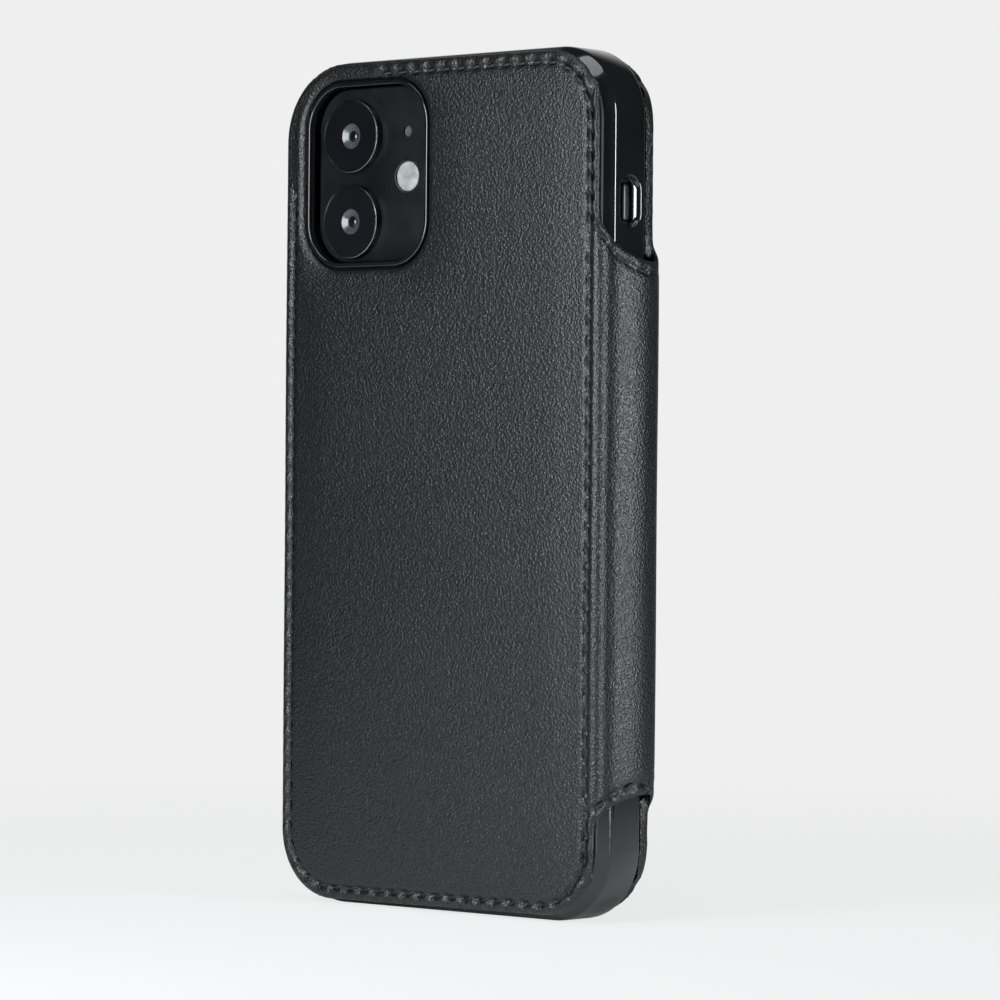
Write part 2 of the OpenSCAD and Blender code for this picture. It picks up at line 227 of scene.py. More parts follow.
def finish_of(name, roughness, **constants):
    material = bpy.data.materials.new(name)
    material.use_nodes = True
    shader = material.node_tree.nodes["Principled BSDF"]
    shader.inputs["Roughness"].default_value = roughness
    for title, value in constants.items():
        title = title.replace("_", " ").title().replace("Ior", "IOR")
        shader.inputs[title].default_value = value
    return material, material.node_tree, shader


def use(tree, group, at=(-700, 0), **values):
    made = node(tree, "ShaderNodeGroup", at, node_tree=group)
    for title, value in values.items():
        made.inputs[title.replace("_", " ").capitalize()].default_value = value
    return made


def ramp(tree, value, low, high, at=(-350, 200)):
    made = node(tree, "ShaderNodeMix", at, data_type="RGBA")
    made.inputs["A"].default_value = (*low, 1)
    made.inputs["B"].default_value = (*high, 1)
    tree.links.new(value, made.inputs["Factor"])
    return made.outputs["Result"]


def spread(tree, value, low, high, at=(-350, 0)):
    made = node(tree, "ShaderNodeMapRange", at)
    made.inputs["To Min"].default_value = low
    made.inputs["To Max"].default_value = high
    tree.links.new(value, made.inputs["Value"])
    return made.outputs["Result"]


def bump(tree, shader, height, strength, depth):
    made = node(tree, "ShaderNodeBump", (-200, -300))
    made.inputs["Strength"].default_value = strength
    made.inputs["Distance"].default_value = depth * MM
    tree.links.new(height, made.inputs["Height"])
    tree.links.new(made.outputs["Normal"], shader.inputs["Normal"])


# %% [markdown]
# ## Three effects that several finishes share
#
# `pebble` is the grain of leather: rounded cells about half a millimetre across, with small
# creases between them. `cloud` is a slow change over centimetres, as from dye, handling or
# fingermarks. `fibre` is a fine random fuzz for felt, board and thread. Sizes are in millimetres.

# %% The pebble group
def cells(tree, vector, size, at):
    made = node(tree, "ShaderNodeTexVoronoi", at, feature="SMOOTH_F1")
    made.inputs["Smoothness"].default_value = 0.22
    tree.links.new(vector, made.inputs["Vector"])
    tree.links.new(size, made.inputs["Scale"])
    return made.outputs["Distance"]


def pattern_space(tree, source, title):
    """Object coordinates, and the scale that makes a pattern as large as the input says."""
    place = node(tree, "ShaderNodeTexCoord", (-1100, 200)).outputs["Object"]
    return place, maths(tree, "DIVIDE", 1 / MM, source.outputs[title], (-700, -200))


def noise(tree, vector, scale, detail, at):
    made = node(tree, "ShaderNodeTexNoise", at)
    made.inputs["Detail"].default_value = detail
    tree.links.new(vector, made.inputs["Vector"])
    tree.links.new(scale, made.inputs["Scale"])
    return made


pebble, pebble_in, pebble_out = effect_group("pebble", {"Cell": 0.55, "Wander": 0.12},
                                             ["Height", "Crease"])
place_on, scale = pattern_space(pebble, pebble_in, "Cell")
finer = maths(pebble, "MULTIPLY", scale, 2.1, (-500, -300))
drift = noise(pebble, place_on, scale, 1.0, (-700, 200))
shake = node(pebble, "ShaderNodeVectorMath", (-500, 200), operation="SCALE")
pebble.links.new(drift.outputs["Color"], shake.inputs[0])
wander = maths(pebble, "DIVIDE", pebble_in.outputs["Wander"], scale, (-600, 0))
pebble.links.new(wander, shake.inputs["Scale"])
moved = node(pebble, "ShaderNodeVectorMath", (-350, 200), operation="ADD")
pebble.links.new(place_on, moved.inputs[0])
pebble.links.new(shake.outputs[0], moved.inputs[1])
big = cells(pebble, moved.outputs[0], scale, (-150, 200))
small = cells(pebble, moved.outputs[0], finer, (-150, -100))
both = maths(pebble, "ADD", big, maths(pebble, "MULTIPLY", small, 0.45, (50, -100)), (200, 0))
height = maths(pebble, "SUBTRACT", 1.0, both, (350, 0))
deep = maths(pebble, "SUBTRACT", both, 0.45, (350, -200))
crease = maths(pebble, "MULTIPLY", deep, 2.2, (450, -200), clamp=True)
pebble.links.new(height, pebble_out.inputs["Height"])
pebble.links.new(crease, pebble_out.inputs["Crease"])
print("pebble group has", len(pebble.nodes), "nodes")

# %% The cloud and fibre groups
cloud, cloud_in, cloud_out = effect_group("cloud", {"Size": 30.0}, ["Mask"])
place_on, scale = pattern_space(cloud, cloud_in, "Size")
slow = noise(cloud, place_on, scale, 3.0, (-400, 0)).outputs["Fac"]
patches = maths(cloud, "SUBTRACT", slow, 0.3, (-200, 0))
steep = maths(cloud, "MULTIPLY", patches, 2.5, (0, 0), clamp=True)
cloud.links.new(steep, cloud_out.inputs["Mask"])

fibre, fibre_in, fibre_out = effect_group("fibre", {"Size": 0.2}, ["Height"])
place_on, scale = pattern_space(fibre, fibre_in, "Size")
fuzz = noise(fibre, place_on, scale, 4.0, (-300, 0)).outputs["Fac"]
fibre.links.new(fuzz, fibre_out.inputs["Height"])
print("cloud group has", len(cloud.nodes), "nodes, fibre group", len(fibre.nodes))

# %% [markdown]
# ## The finishes
#
# The outer leather is black, drum-dyed and lightly pebbled. Its shine is soft because each pebble
# leans its own way, so the roughness is moderate and the bump does the rest. The creases are
# rougher than the tops, and their colour is darkened as painted shade, with the tops left lighter
# as a painted sheen. The lining is a smoother, greyer split leather. The tray is polished black
# plastic and the phone dark metal and glass.

# %% Leathers
def leather_finish(name, dark, light, roughness, cell, depth):
    """Leather from its two colours, its roughness, and its grain's size and depth in mm."""
    material, tree, shader = finish_of(name, roughness)
    grain = use(tree, pebble, (-900, -100), cell=cell)
    age = use(tree, cloud, (-900, 200), size=32.0)
    # painted shade: the grain's creases darken the base colour, so the pebble tops read as a painted
    # sheen
    painted_crease_shade = maths(tree, "MULTIPLY", grain.outputs["Crease"], 0.9, (-700, 100))
    wear = spread(tree, age.outputs["Mask"], 0.55, 1.0, (-700, 300))
    tone_and_crease_shade = maths(tree, "SUBTRACT", wear, painted_crease_shade, (-520, 200), clamp=True)
    tree.links.new(ramp(tree, tone_and_crease_shade, dark, light), shader.inputs["Base Color"])
    gloss = spread(tree, tone_and_crease_shade, roughness + 0.2, roughness - 0.04)
    tree.links.new(gloss, shader.inputs["Roughness"])
    bump(tree, shader, grain.outputs["Height"], 1.0, depth)
    return material


outer_leather = leather_finish("outer leather", (0.0004, 0.0005, 0.0006), (0.008, 0.0085, 0.009),
                               0.26, cell=0.48, depth=0.1)
lining_leather = leather_finish("lining leather", (0.010, 0.010, 0.011), (0.024, 0.024, 0.026),
                                0.5, cell=0.42, depth=0.04)

# %% Threads, board and felt
def fibre_finish(name, dark, light, roughness, size, depth, sheen=0.0):
    material, tree, shader = finish_of(name, roughness, sheen_weight=sheen)
    height = use(tree, fibre, (-900, 0), size=size).outputs["Height"]
    tree.links.new(ramp(tree, height, dark, light), shader.inputs["Base Color"])
    gloss = spread(tree, height, roughness + 0.1, roughness - 0.1)
    tree.links.new(gloss, shader.inputs["Roughness"])
    bump(tree, shader, height, 1.0, depth)
    return material


thread = fibre_finish("waxed thread", (0.001, 0.001, 0.001), (0.006, 0.006, 0.006),
                      0.6, size=0.22, depth=0.08)
board_finish = fibre_finish("grey board", (0.16, 0.15, 0.14), (0.30, 0.29, 0.27),
                            0.85, size=0.3, depth=0.06)
felt_finish = fibre_finish("microfibre", (0.02, 0.02, 0.022), (0.06, 0.06, 0.065),
                           0.95, size=0.12, depth=0.08, sheen=0.5)

# %% Hard finishes
def hard_finish(name, dark, light, roughness, spot=14.0, fine=0.05, depth=0.004, **constants):
    """Metal, plastic or glass: fingermarks spot mm across over a skin whose texture is fine mm."""
    material, tree, shader = finish_of(name, roughness, **constants)
    touch = use(tree, cloud, (-900, 200), size=spot).outputs["Mask"]
    texture = use(tree, fibre, (-900, -100), size=fine).outputs["Height"]
    tree.links.new(ramp(tree, touch, dark, light), shader.inputs["Base Color"])
    gloss = spread(tree, touch, roughness * 0.75, roughness * 1.35)
    tree.links.new(gloss, shader.inputs["Roughness"])
    bump(tree, shader, texture, 0.5, depth)
    return material


tray_plastic = hard_finish("gloss tray plastic", (0.004, 0.004, 0.005), (0.007, 0.007, 0.008),
                           0.09, depth=0.001, coat_weight=0.4, coat_roughness=0.03)
phone_metal = hard_finish("dark anodised metal", (0.045, 0.046, 0.05), (0.07, 0.072, 0.078),
                          0.36, 9.0, 0.06, 0.006, metallic=1.0)
phone_glass = hard_finish("black glass", (0.003, 0.003, 0.004), (0.006, 0.006, 0.007),
                          0.07, 20.0, depth=0.0004)
block_satin = hard_finish("satin camera block", (0.005, 0.0055, 0.006), (0.009, 0.0095, 0.01),
                          0.27, 8.0, depth=0.003, specular_ior_level=0.2)
ring_metal = hard_finish("lens ring metal", (0.10, 0.10, 0.11), (0.16, 0.16, 0.17),
                         0.22, 5.0, depth=0.003, metallic=1.0)
barrel_black = hard_finish("lens barrel black", (0.004, 0.004, 0.005), (0.008, 0.008, 0.009),
                           0.3, 4.0)
element_coat = hard_finish("coated lens element", (0.03, 0.033, 0.038), (0.05, 0.054, 0.06),
                           0.22, 3.0, depth=0.001)
socket_metal = hard_finish("socket metal", (0.35, 0.35, 0.36), (0.5, 0.5, 0.5),
                           0.3, 4.0, metallic=1.0)
inner_metal = hard_finish("inner frame", (0.06, 0.06, 0.065), (0.10, 0.10, 0.105),
                          0.5, 12.0, 0.1, 0.01, metallic=0.6)
flash_frost = hard_finish("frosted flash lens", (0.24, 0.215, 0.19), (0.40, 0.375, 0.35),
                          0.35, 1.6, 0.35, 0.05, subsurface_weight=0.2)
print("finishes:", [material.name for material in bpy.data.materials])

# %% [markdown]
# ## Leather panels as skins
#
# A leather panel is a flat hide that is cut, thinned at its edges, laid over a board, turned and
# stitched. So each panel is drawn flat first, as an outline in (u, z), and filled with triangles
# that are small near edges and seams. Then it is laid on its cross-section: u runs along the
# panel's face and round into the spine. The outer face gets its rounding, grooves and folds as
# heights, and the inner face lies one hide thickness behind it.

# %% Curves through points
def through(points, step):
    """A smooth (Catmull-Rom) curve through points, with a point about every step."""
    p = np.asarray(points, float)
    p = np.vstack([2 * p[0] - p[1], p, 2 * p[-1] - p[-2]])
    runs = []
    for a, b, c, d in zip(p[:-3], p[1:-2], p[2:-1], p[3:]):
        count = max(2, int(np.ceil(np.linalg.norm(c - b) / step)))
        t = np.linspace(0, 1, count, endpoint=False)[:, None]
        runs.append(0.5 * (2 * b + (c - a) * t + (2 * a - 5 * b + 4 * c - d) * t**2
                           + (3 * b - a - 3 * c + d) * t**3))
    return np.vstack(runs + [p[-2][None]])


def lengths(points):
    return np.r_[0, np.cumsum(np.linalg.norm(np.diff(points, axis=0), axis=1))]


def evenly(points, step):
    p, along = np.asarray(points, float), lengths(np.asarray(points, float))
    at = np.linspace(0, along[-1], max(2, int(round(along[-1] / step)) + 1))
    return np.column_stack([np.interp(at, along, p[:, k]) for k in range(p.shape[1])])


def arc(x, z, r, first, last, count=14):
    t = np.radians(np.linspace(first, last, count))
    return np.column_stack([x + r * np.cos(t), z + r * np.sin(t)])


def rounded(x, z, w, h, r, count=14):
    """A rounded rectangle about (x, z), counterclockwise, closed by its last point."""
    dx, dz = w / 2 - r, h / 2 - r
    loop = np.vstack([arc(x + dx, z + dz, r, 0, 90, count), arc(x - dx, z + dz, r, 90, 180, count),
                      arc(x - dx, z - dz, r, 180, 270, count),
                      arc(x + dx, z - dz, r, 270, 360, count)])
    return np.vstack([loop, loop[:1]])


# %% Distances and tests on the flat hide
def nearest(points, line, batch=2000):
    """Distance to a line of points, and the length along it at the nearest place."""
    a, run = line[:-1], np.diff(line, axis=0)
    square = np.maximum((run**2).sum(1), 1e-12)
    start = lengths(line)[:-1]
    away, along = np.empty(len(points)), np.empty(len(points))
    for i in range(0, len(points), batch):
        rel = points[i:i + batch, None] - a[None]
        t = np.clip((rel * run).sum(2) / square, 0, 1)
        gap = ((rel - t[..., None] * run)**2).sum(2)
        best = gap.argmin(1)
        rows = np.arange(len(best))
        away[i:i + batch] = np.sqrt(gap[rows, best])
        along[i:i + batch] = start[best] + t[rows, best] * np.sqrt(square[best])
    return away, along


def inside(points, loop, batch=4000):
    """True for the points from which a line to the right crosses the loop an odd number of times."""
    a, b = loop, np.roll(loop, -1, 0)
    rise = np.where(np.abs(b[:, 1] - a[:, 1]) < 1e-12, 1e-12, b[:, 1] - a[:, 1])
    answer = np.zeros(len(points), bool)
    for i in range(0, len(points), batch):
        x, y = points[i:i + batch, 0, None], points[i:i + batch, 1, None]
        meets = a[:, 0] + (y - a[:, 1]) * (b[:, 0] - a[:, 0]) / rise
        crosses = ((a[:, 1] > y) != (b[:, 1] > y)) & (x < meets)
        answer[i:i + batch] = crosses.sum(1) % 2 == 1
    return answer


def inset_line(line, depth):
    """The line moved to its left by depth."""
    way = np.gradient(line, axis=0)
    way /= np.maximum(np.linalg.norm(way, axis=1), 1e-9)[:, None]
    return line + depth * np.column_stack([-way[:, 1], way[:, 0]])


# %% Fill a flat outline with triangles
def fill(loops, extra):
    """Triangles over the first loop, less the second, with extra points inside."""
    points, edges = [], []
    for loop in loops:
        first = len(points)
        points += list(loop)
        edges += [(first + i, first + (i + 1) % len(loop)) for i in range(len(loop))]
    points += list(extra)
    made = delaunay_2d_cdt([Vector(p) for p in points], edges, [], 1, 1e-4)
    flat = np.array([tuple(v) for v in made[0]])
    tris = np.array(made[2])
    if len(loops) > 1:
        tris = tris[~inside(flat[tris].mean(1), loops[1])]
    a, b, c = (flat[tris[:, k]] for k in range(3))
    turn = (b[:, 0] - a[:, 0]) * (c[:, 1] - a[:, 1]) - (b[:, 1] - a[:, 1]) * (c[:, 0] - a[:, 0])
    tris[turn < 0] = tris[turn < 0][:, ::-1]
    return flat, tris


def grid(u0, u1, z0, z1, du, dz):
    """Rows of points, each second row shifted by half a step, so that triangles come out even."""
    u, z = np.meshgrid(np.arange(u0, u1, du), np.arange(z0, z1, dz))
    u = u + (np.arange(len(z))[:, None] % 2) * du / 2
    return np.column_stack([u.ravel(), z.ravel()])


# %% Lay a filled outline on its cross-section
def section_curve(face, bends, way):
    """The outer face's line across a panel: flat up to the first bend, then through the others."""
    first = bends[0][0]
    control = [(first - 2.4, 0), (first - 1.2, 0)] + list(bends)
    line = through([(x, face + y) for x, y in control], 0.05)
    slope = np.gradient(line, axis=0)
    slope /= np.linalg.norm(slope, axis=1)[:, None]
    return {"u": line[0, 0] + lengths(line), "line": line, "way": way,
            "out": way * np.column_stack([-slope[:, 1], slope[:, 0]])}


def lay(section, u, z, height):
    """Places (u, z) on a cross-section, raised by height from its outer face."""
    flat = u < section["u"][0]
    x = np.where(flat, u, np.interp(u, section["u"], section["line"][:, 0]))
    y = np.interp(u, section["u"], section["line"][:, 1])
    out_x = np.interp(u, section["u"], section["out"][:, 0])
    out_y = np.interp(u, section["u"], section["out"][:, 1])
    return np.column_stack([x + out_x * height, y + out_y * height, z])


def skin(name, section, loops, outer_points, inner_points, height, thickness):
    """A closed hide: a finely divided outer face, a plain inner face and the strip between them."""
    flat, tris = fill(loops, outer_points)
    flat_in, tris_in = fill(loops, inner_points)
    outer = lay(section, flat[:, 0], flat[:, 1], height(flat))
    inner = lay(section, flat_in[:, 0], flat_in[:, 1], -thickness(flat_in))
    same = {tuple(np.round(p, 3)): i + len(flat) for i, p in enumerate(flat_in)}
    sides = np.vstack([tris[:, [0, 1]], tris[:, [1, 2]], tris[:, [2, 0]]])
    seen = {(a, b) for a, b in sides.tolist()}
    faces = tris.tolist() + (tris_in[:, ::-1] + len(flat)).tolist()
    for a, b in seen:
        if (b, a) not in seen:
            faces.append([b, a, same[tuple(np.round(flat[a], 3))], same[tuple(np.round(flat[b], 3))]])
    if section["way"] > 0:
        faces = [face[::-1] for face in faces]
    return solid(name, np.vstack([outer, inner]), faces, 60)


# %% [markdown]
# ## How a stitched edge looks
#
# The needle pulls the thread down, so the hide is sunk along the row, deepest under each stitch,
# and it swells into small pillows between the stitches on the side of the edge. `edge_drop` is the
# rounding of a turned edge.

# %% Heights near edges and seams
pitch = 3.5            # from one stitch to the next
seam_inset = 2.2       # from a panel's edge to its row of stitches
sink_depth, sink_reach = 0.55, 0.45
pillow_height, pillow_inset, pillow_reach = 0.26, 1.2, 0.65


def edge_drop(away, radius, depth):
    t = 1 - np.clip(away / radius, 0, 1)
    return depth * (1 - np.sqrt(1 - t**2))


def seam_height(away, along, from_edge):
    phase = np.cos(2 * np.pi * (along / pitch - 0.5))
    at_stitch = np.clip(0.5 + 0.9 * phase, 0, 1)
    sink = sink_depth * np.exp(-(away / sink_reach)**2) * (0.35 + 0.65 * at_stitch)
    pillow = pillow_height * np.exp(-((from_edge - pillow_inset) / pillow_reach)**2)
    return pillow * (1 - at_stitch) * (away < 2) - sink


def hide_waves(flat):
    """The slight unevenness of a hide over its board."""
    u, z = flat[:, 0], flat[:, 1]
    return 0.05 * np.sin(u / 17 + 1.3) * np.sin(z / 23 + 0.4) + 0.03 * np.sin(z / 9 + u / 13)


def ease(value, start, end):
    """0 up to start, 1 from end, and a soft step between them."""
    t = np.clip((value - start) / (end - start), 0, 1)
    return t * t * (3 - 2 * t)


# %% [markdown]
# ## The back cover and spine
#
# One hide covers the back board, dips into the fold beside it and bulges over the spine. It is cut
# where the spine meets the front cover, because the other hide turns on the other hinge there.
# Its free edges are the outside of the back cover and the two ends of the spine, which sweep down
# and up from the cover's edge and leave the tray's corners bare.

# %% The spine's two swept ends
spine_top, spine_bottom = span("front_fold", 2)[1], span("front_fold", 2)[0]
sweep_start = middle_y + 4.5


def top_end(y):
    return spine_top + 0.05 * np.maximum(0, sweep_start - y)**2


def bottom_end(y):
    return spine_bottom - 0.032 * np.maximum(0, sweep_start - y)**2


# %% The back hide's cross-section and outline
back_bends = [(33.9, 0), (35.0, 0.22), (36.1, -0.06), (37.1, 0.36), (37.55, 1.0), (37.74, 1.7),
              (37.77, 2.6), (37.81, 3.4), (37.96, 4.3), (38.2, 5.0), (38.64, 6.2), (39.12, 7.6),
              (39.42, 9.2), (39.48, 10.4), (39.42, 11.75)]
back_section = section_curve(back_face, back_bends, -1)
back_cut = back_section["u"][-1]


def along_ends(section, x_from, shape, extra=0.0):
    """Points (u, z) on one swept end of the spine, from x_from round to the cut."""
    keep = (section["line"][:, 0] > x_from) & (section["u"] > section["u"][0] + 4)
    u, y = section["u"][keep][::6], section["line"][keep, 1][::6]
    u, y = np.r_[u, section["u"][-1]], np.r_[y, section["line"][-1, 1]]
    return np.column_stack([u, shape(y) + extra])


half, hi, lo = cover_half, cover_top, cover_bottom
corner_r, window_corner_r = 12.0, 13.5      # the corner beside the window is rounder
top_sweep = along_ends(back_section, 37.3, top_end)
bottom_sweep = along_ends(back_section, 37.3, bottom_end)
corner_tr = arc(half - corner_r, hi - 0.1 - corner_r, corner_r, 0, 90)
corner_tl = arc(-half + window_corner_r, hi + 0.2 - window_corner_r, window_corner_r, 90, 180)
corner_bl = arc(-half + corner_r, lo + corner_r, corner_r, 180, 270)
corner_br = arc(half - corner_r, lo + 0.4 + corner_r, corner_r, 270, 360)
sweep_hi, sweep_lo = top_sweep[0, 1], bottom_sweep[0, 1]
top_turn = through([top_sweep[1], top_sweep[0], (half + 0.12, sweep_hi + 0.9),
                    (half, sweep_hi + 2.4), (half, sweep_hi + 6)], 0.3)
bottom_turn = through([(half, sweep_lo - 6), (half, sweep_lo - 2.4),
                       (half + 0.12, sweep_lo - 0.9), bottom_sweep[0], bottom_sweep[1]], 0.3)
back_edge = evenly(np.vstack([top_sweep[:1:-1], top_turn, corner_tr, corner_tl, corner_bl,
                              corner_br, bottom_turn, bottom_sweep[2:]]), 0.45)
print("back hide: edge", round(lengths(back_edge)[-1]), "mm, cut at u =", round(back_cut, 2))

# %% Rows of stitches on the back hide
window_x, window_z = -17.55, 129.5
window_w, window_h, window_r = 29.9, 33.6, 8.5
row_x, row_hi, row_lo = half - seam_inset, hi - seam_inset, lo + seam_inset
row_r = 12.5 - seam_inset


def cover_row(first_x, last_z):
    """A row of stitches: along the top from first_x, down the right, round to last_z on the left."""
    return evenly(np.vstack([[(first_x, row_hi)],
                             arc(row_x - row_r, row_hi - row_r, row_r, 90, 0),
                             arc(row_x - row_r, row_lo + row_r, row_r, 360, 270),
                             arc(-row_x + row_r, row_lo + row_r, row_r, 270, 180),
                             [(-row_x, last_z)]]), 0.7)


back_row = cover_row(-14.6, 127.0)
top_row = through(along_ends(back_section, 36.4, top_end, -seam_inset), 0.5)
bottom_row = through(along_ends(back_section, 36.4, bottom_end, seam_inset), 0.5)
print("back row:", round(lengths(back_row)[-1] / pitch), "stitches")

# %% Points that fill the back hide
RINGS = [0.12, 0.28, 0.48, 0.72, 1.0, 1.3, 1.6, 1.9, 2.2, 2.5, 2.8, 3.2, 3.8, 4.6]
WINDOW_RINGS = (0.1, 0.25, 0.45, 0.7, 0.95, 1.25, 1.6, 2.1, 2.8)
CUT_POINTS = 200


def edge_rings(edge, depths, limit):
    """Rows of points that follow an edge at several depths, up to u = limit."""
    kept = []
    for depth in depths:
        ring = inset_line(edge, depth)
        away, _ = nearest(ring, edge)
        kept.append(ring[(away > 0.97 * depth) & (ring[:, 0] < limit - 0.2)])
    return np.vstack(kept)


def window_loop(wider, step, count=14):
    """The camera window's outline, moved outwards by wider."""
    loop = rounded(window_x, window_z, window_w + 2 * wider, window_h + 2 * wider, window_r + wider,
                   count)
    return evenly(loop, step)


def cut_between(u, z_from, z_to):
    """The straight cut across the spine, without its two ends."""
    return np.column_stack([np.full(CUT_POINTS, u), np.linspace(z_from, z_to, CUT_POINTS)])[1:-1]


def hide_points(edge, loop, limit, fine_from, hole=None):
    """Rings near the edges, a fine grid over the folds and spine, and a coarse grid on the flat."""
    fine = grid(fine_from, limit - 0.25, lo, hi, 0.4, 0.5)
    coarse = grid(-half, fine_from - 0.6, lo, hi, 1.9, 1.65)
    points = np.vstack([fine, coarse])
    points = points[inside(points, loop)]
    points = points[nearest(points, edge[::2])[0] > 4.8]
    if hole is not None:
        points = points[nearest(points, hole)[0] > 3.4]
        points = points[~inside(points, hole[:-1])]
    return np.vstack([points, edge_rings(edge, RINGS, limit)])


back_loop = np.vstack([back_edge, cut_between(back_cut, back_edge[-1, 1], back_edge[0, 1])])
window = window_loop(0, 0.5, 20)
window_rings = np.vstack([window_loop(d, 0.55, 20)[:-1] for d in WINDOW_RINGS])
around = hide_points(back_edge, back_loop, back_cut, 33.0, window)
clear = nearest(window_rings, back_edge)[0] > 0.3
back_points = np.vstack([around[nearest(around, window)[0] > 3.0], window_rings[clear]])
print("back hide filled with", len(back_points), "points")

# %% The back hide's heights
def fold_thickness(u, flat_t, fold_t, spine_t, starts, fold_end):
    """A hide is pared thin where it folds: its thickness on the flat, at the fold and past it."""
    return (flat_t + (fold_t - flat_t) * ease(u, *starts)
            + (spine_t - fold_t) * ease(u, fold_end, fold_end + 3))


def back_height(flat):
    edge_away, _ = nearest(flat, back_edge[::2])
    hole_away, _ = nearest(flat, window)
    row_away, row_along = nearest(flat, back_row)
    height = hide_waves(flat) - edge_drop(edge_away, 0.85, 0.7) - edge_drop(hole_away, 1.5, 1.05)
    height -= 0.16 * (1 - ease(edge_away, 1.7, 3.2)) + 0.08 * (1 - ease(hole_away, 1.5, 4))
    inward = np.minimum.reduce([edge_away, half - flat[:, 0], hole_away + 2])
    height += 0.3 * ease(inward, 1.5, 11)
    height += seam_height(row_away, row_along, edge_away)
    for row in (top_row, bottom_row):
        away, along = nearest(flat, row)
        height += 0.75 * seam_height(away, along, edge_away)
    return height


def back_thickness(flat):
    base = fold_thickness(flat[:, 0], 1.0, 0.62, 0.85, (35.2, 37.5), 40.5)
    return base + 0.4 * (nearest(flat, window)[0] < 0.66)


inner_rings = np.vstack([window_loop(d, 1.2)[:-1] for d in (0.6, 0.72)])
coarse_in = np.vstack([grid(-half, 33, lo, hi, 6, 6), grid(33.5, back_cut - 0.3, lo, hi, 0.6, 5)])
coarse_in = coarse_in[inside(coarse_in, back_loop)]
far_from_edge = nearest(coarse_in, back_edge[::2])[0] > 0.8
coarse_in = coarse_in[far_from_edge & (nearest(coarse_in, window)[0] > 1.2)]
coarse_in = coarse_in[~inside(coarse_in, window[:-1])]
clear = nearest(inner_rings, back_edge)[0] > 0.3
back_skin = skin("back_hide", back_section, [back_loop, window[:-1]], back_points,
                 np.vstack([coarse_in, inner_rings[clear]]), back_height, back_thickness)
finish_piece(back_skin, outer_leather, "outer_leather", None,
             "back_leather", "back_fold", "spine_leather")
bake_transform(back_skin)

# %% [markdown]
# ## The front cover
#
# The second hide starts at the cut on the spine, turns round the front fold and covers the front
# board. Its edge is turned in far enough to hide the board and the pocket sheets.

# %% The front hide's cross-section and outline
front_bends = [(33.8, 0), (34.8, -0.18), (36.1, 0.04), (37.2, -0.06), (38.2, -0.42), (38.9, -1.15),
               (39.27, -2.1), (39.42, -3.15)]
front_section = section_curve(front_face, front_bends, 1)
front_cut = front_section["u"][-1]
turn_u = np.interp(front_face - 1.0, front_section["line"][::-1, 1], front_section["u"][::-1])
front_r = 12.5
top_out = through([(front_cut, spine_top), (front_cut - 1.2, spine_top + 0.05),
                   (turn_u, spine_top + 0.7), (37.35, spine_top + 2.6), (half, spine_top + 5),
                   (half, spine_top + 9)], 0.3)
bottom_out = through([(half, spine_bottom - 9), (half, spine_bottom - 5), (37.35, spine_bottom - 2.6),
                      (turn_u, spine_bottom - 0.7), (front_cut - 1.2, spine_bottom - 0.05),
                      (front_cut, spine_bottom)], 0.3)
front_edge = evenly(np.vstack([top_out, arc(half - front_r, hi - front_r, front_r, 0, 90),
                               arc(-half + front_r, hi - front_r, front_r, 90, 180),
                               arc(-half + front_r, lo + front_r, front_r, 180, 270),
                               arc(half - front_r, lo + front_r, front_r, 270, 360),
                               bottom_out]), 0.45)
front_loop = np.vstack([front_edge, cut_between(front_cut, spine_bottom, spine_top)])
front_row = evenly(np.vstack([cover_row(-14.6, row_hi - row_r),
                              arc(-row_x + row_r, row_hi - row_r, row_r, 180, 90),
                              [(-14.7, row_hi)]]), 0.7)
print("front row:", round(lengths(front_row)[-1] / pitch), "stitches")


# %% The front hide's heights
def front_height(flat):
    edge_away, _ = nearest(flat, front_edge[::2])
    row_away, row_along = nearest(flat, front_row)
    height = hide_waves(flat) - edge_drop(edge_away, 0.9, 0.65)
    height -= 0.08 * (1 - ease(edge_away, 1.7, 3.4))
    return height + seam_height(row_away, row_along, edge_away)


def front_thickness(flat):
    """Thicker at the turned-in edge, except round the fold, where there is no room for a hem."""
    base = fold_thickness(flat[:, 0], 1.0, 0.6, 0.85, (36.8, 37.3), 39.0)
    hem = nearest(flat, front_edge[::2])[0] < 1.3
    return base + 1.25 * hem * (1 - ease(flat[:, 0], half, half + 0.5))


# %% The front hide
hem_rings = edge_rings(front_edge, [1.22, 1.36], half)
hem_side = grid(half - 0.1, half + 0.6, spine_bottom - 6, spine_top + 6, 0.16, 0.4)
hem_side = hem_side[inside(hem_side, front_loop)]
side_away = nearest(hem_side, front_edge)[0]
hem_side = hem_side[(side_away > 0.15) & (side_away < 2)]
coarse_in = np.vstack([grid(-half, half - 2, lo, hi, 6, 6),
                       grid(half + 0.4, front_cut - 0.3, lo, hi, 0.5, 5)])
coarse_in = coarse_in[inside(coarse_in, front_loop)]
coarse_in = coarse_in[nearest(coarse_in, front_edge[::2])[0] > 1.7]
front_points = hide_points(front_edge, front_loop, front_cut, 33.0)
front_skin = skin("front_hide", front_section, [front_loop], front_points,
                  np.vstack([coarse_in, hem_rings, hem_side]), front_height, front_thickness)
finish_piece(front_skin, outer_leather, "outer_leather", None, "cover_leather", "front_fold")
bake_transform(front_skin)

# %% [markdown]
# ## Flat sheets
#
# The back lining, the cash pocket and the card leaves are thin sheets. They use the same way of
# making as the hides, on a flat cross-section. The lining's rim is pinched up to the outer hide by
# the seam, and each card leaf has a thumb dip in its mouth. The spine has a pad of lining leather
# instead, which is drawn as loops across it, joined one to the next.

# %% One thin sheet
def flat_section(face, way):
    line = np.array([(-50.0, face), (50.0, face)])
    return {"u": line[:, 0], "line": line, "way": way, "out": np.array([(0.0, way), (0.0, way)])}


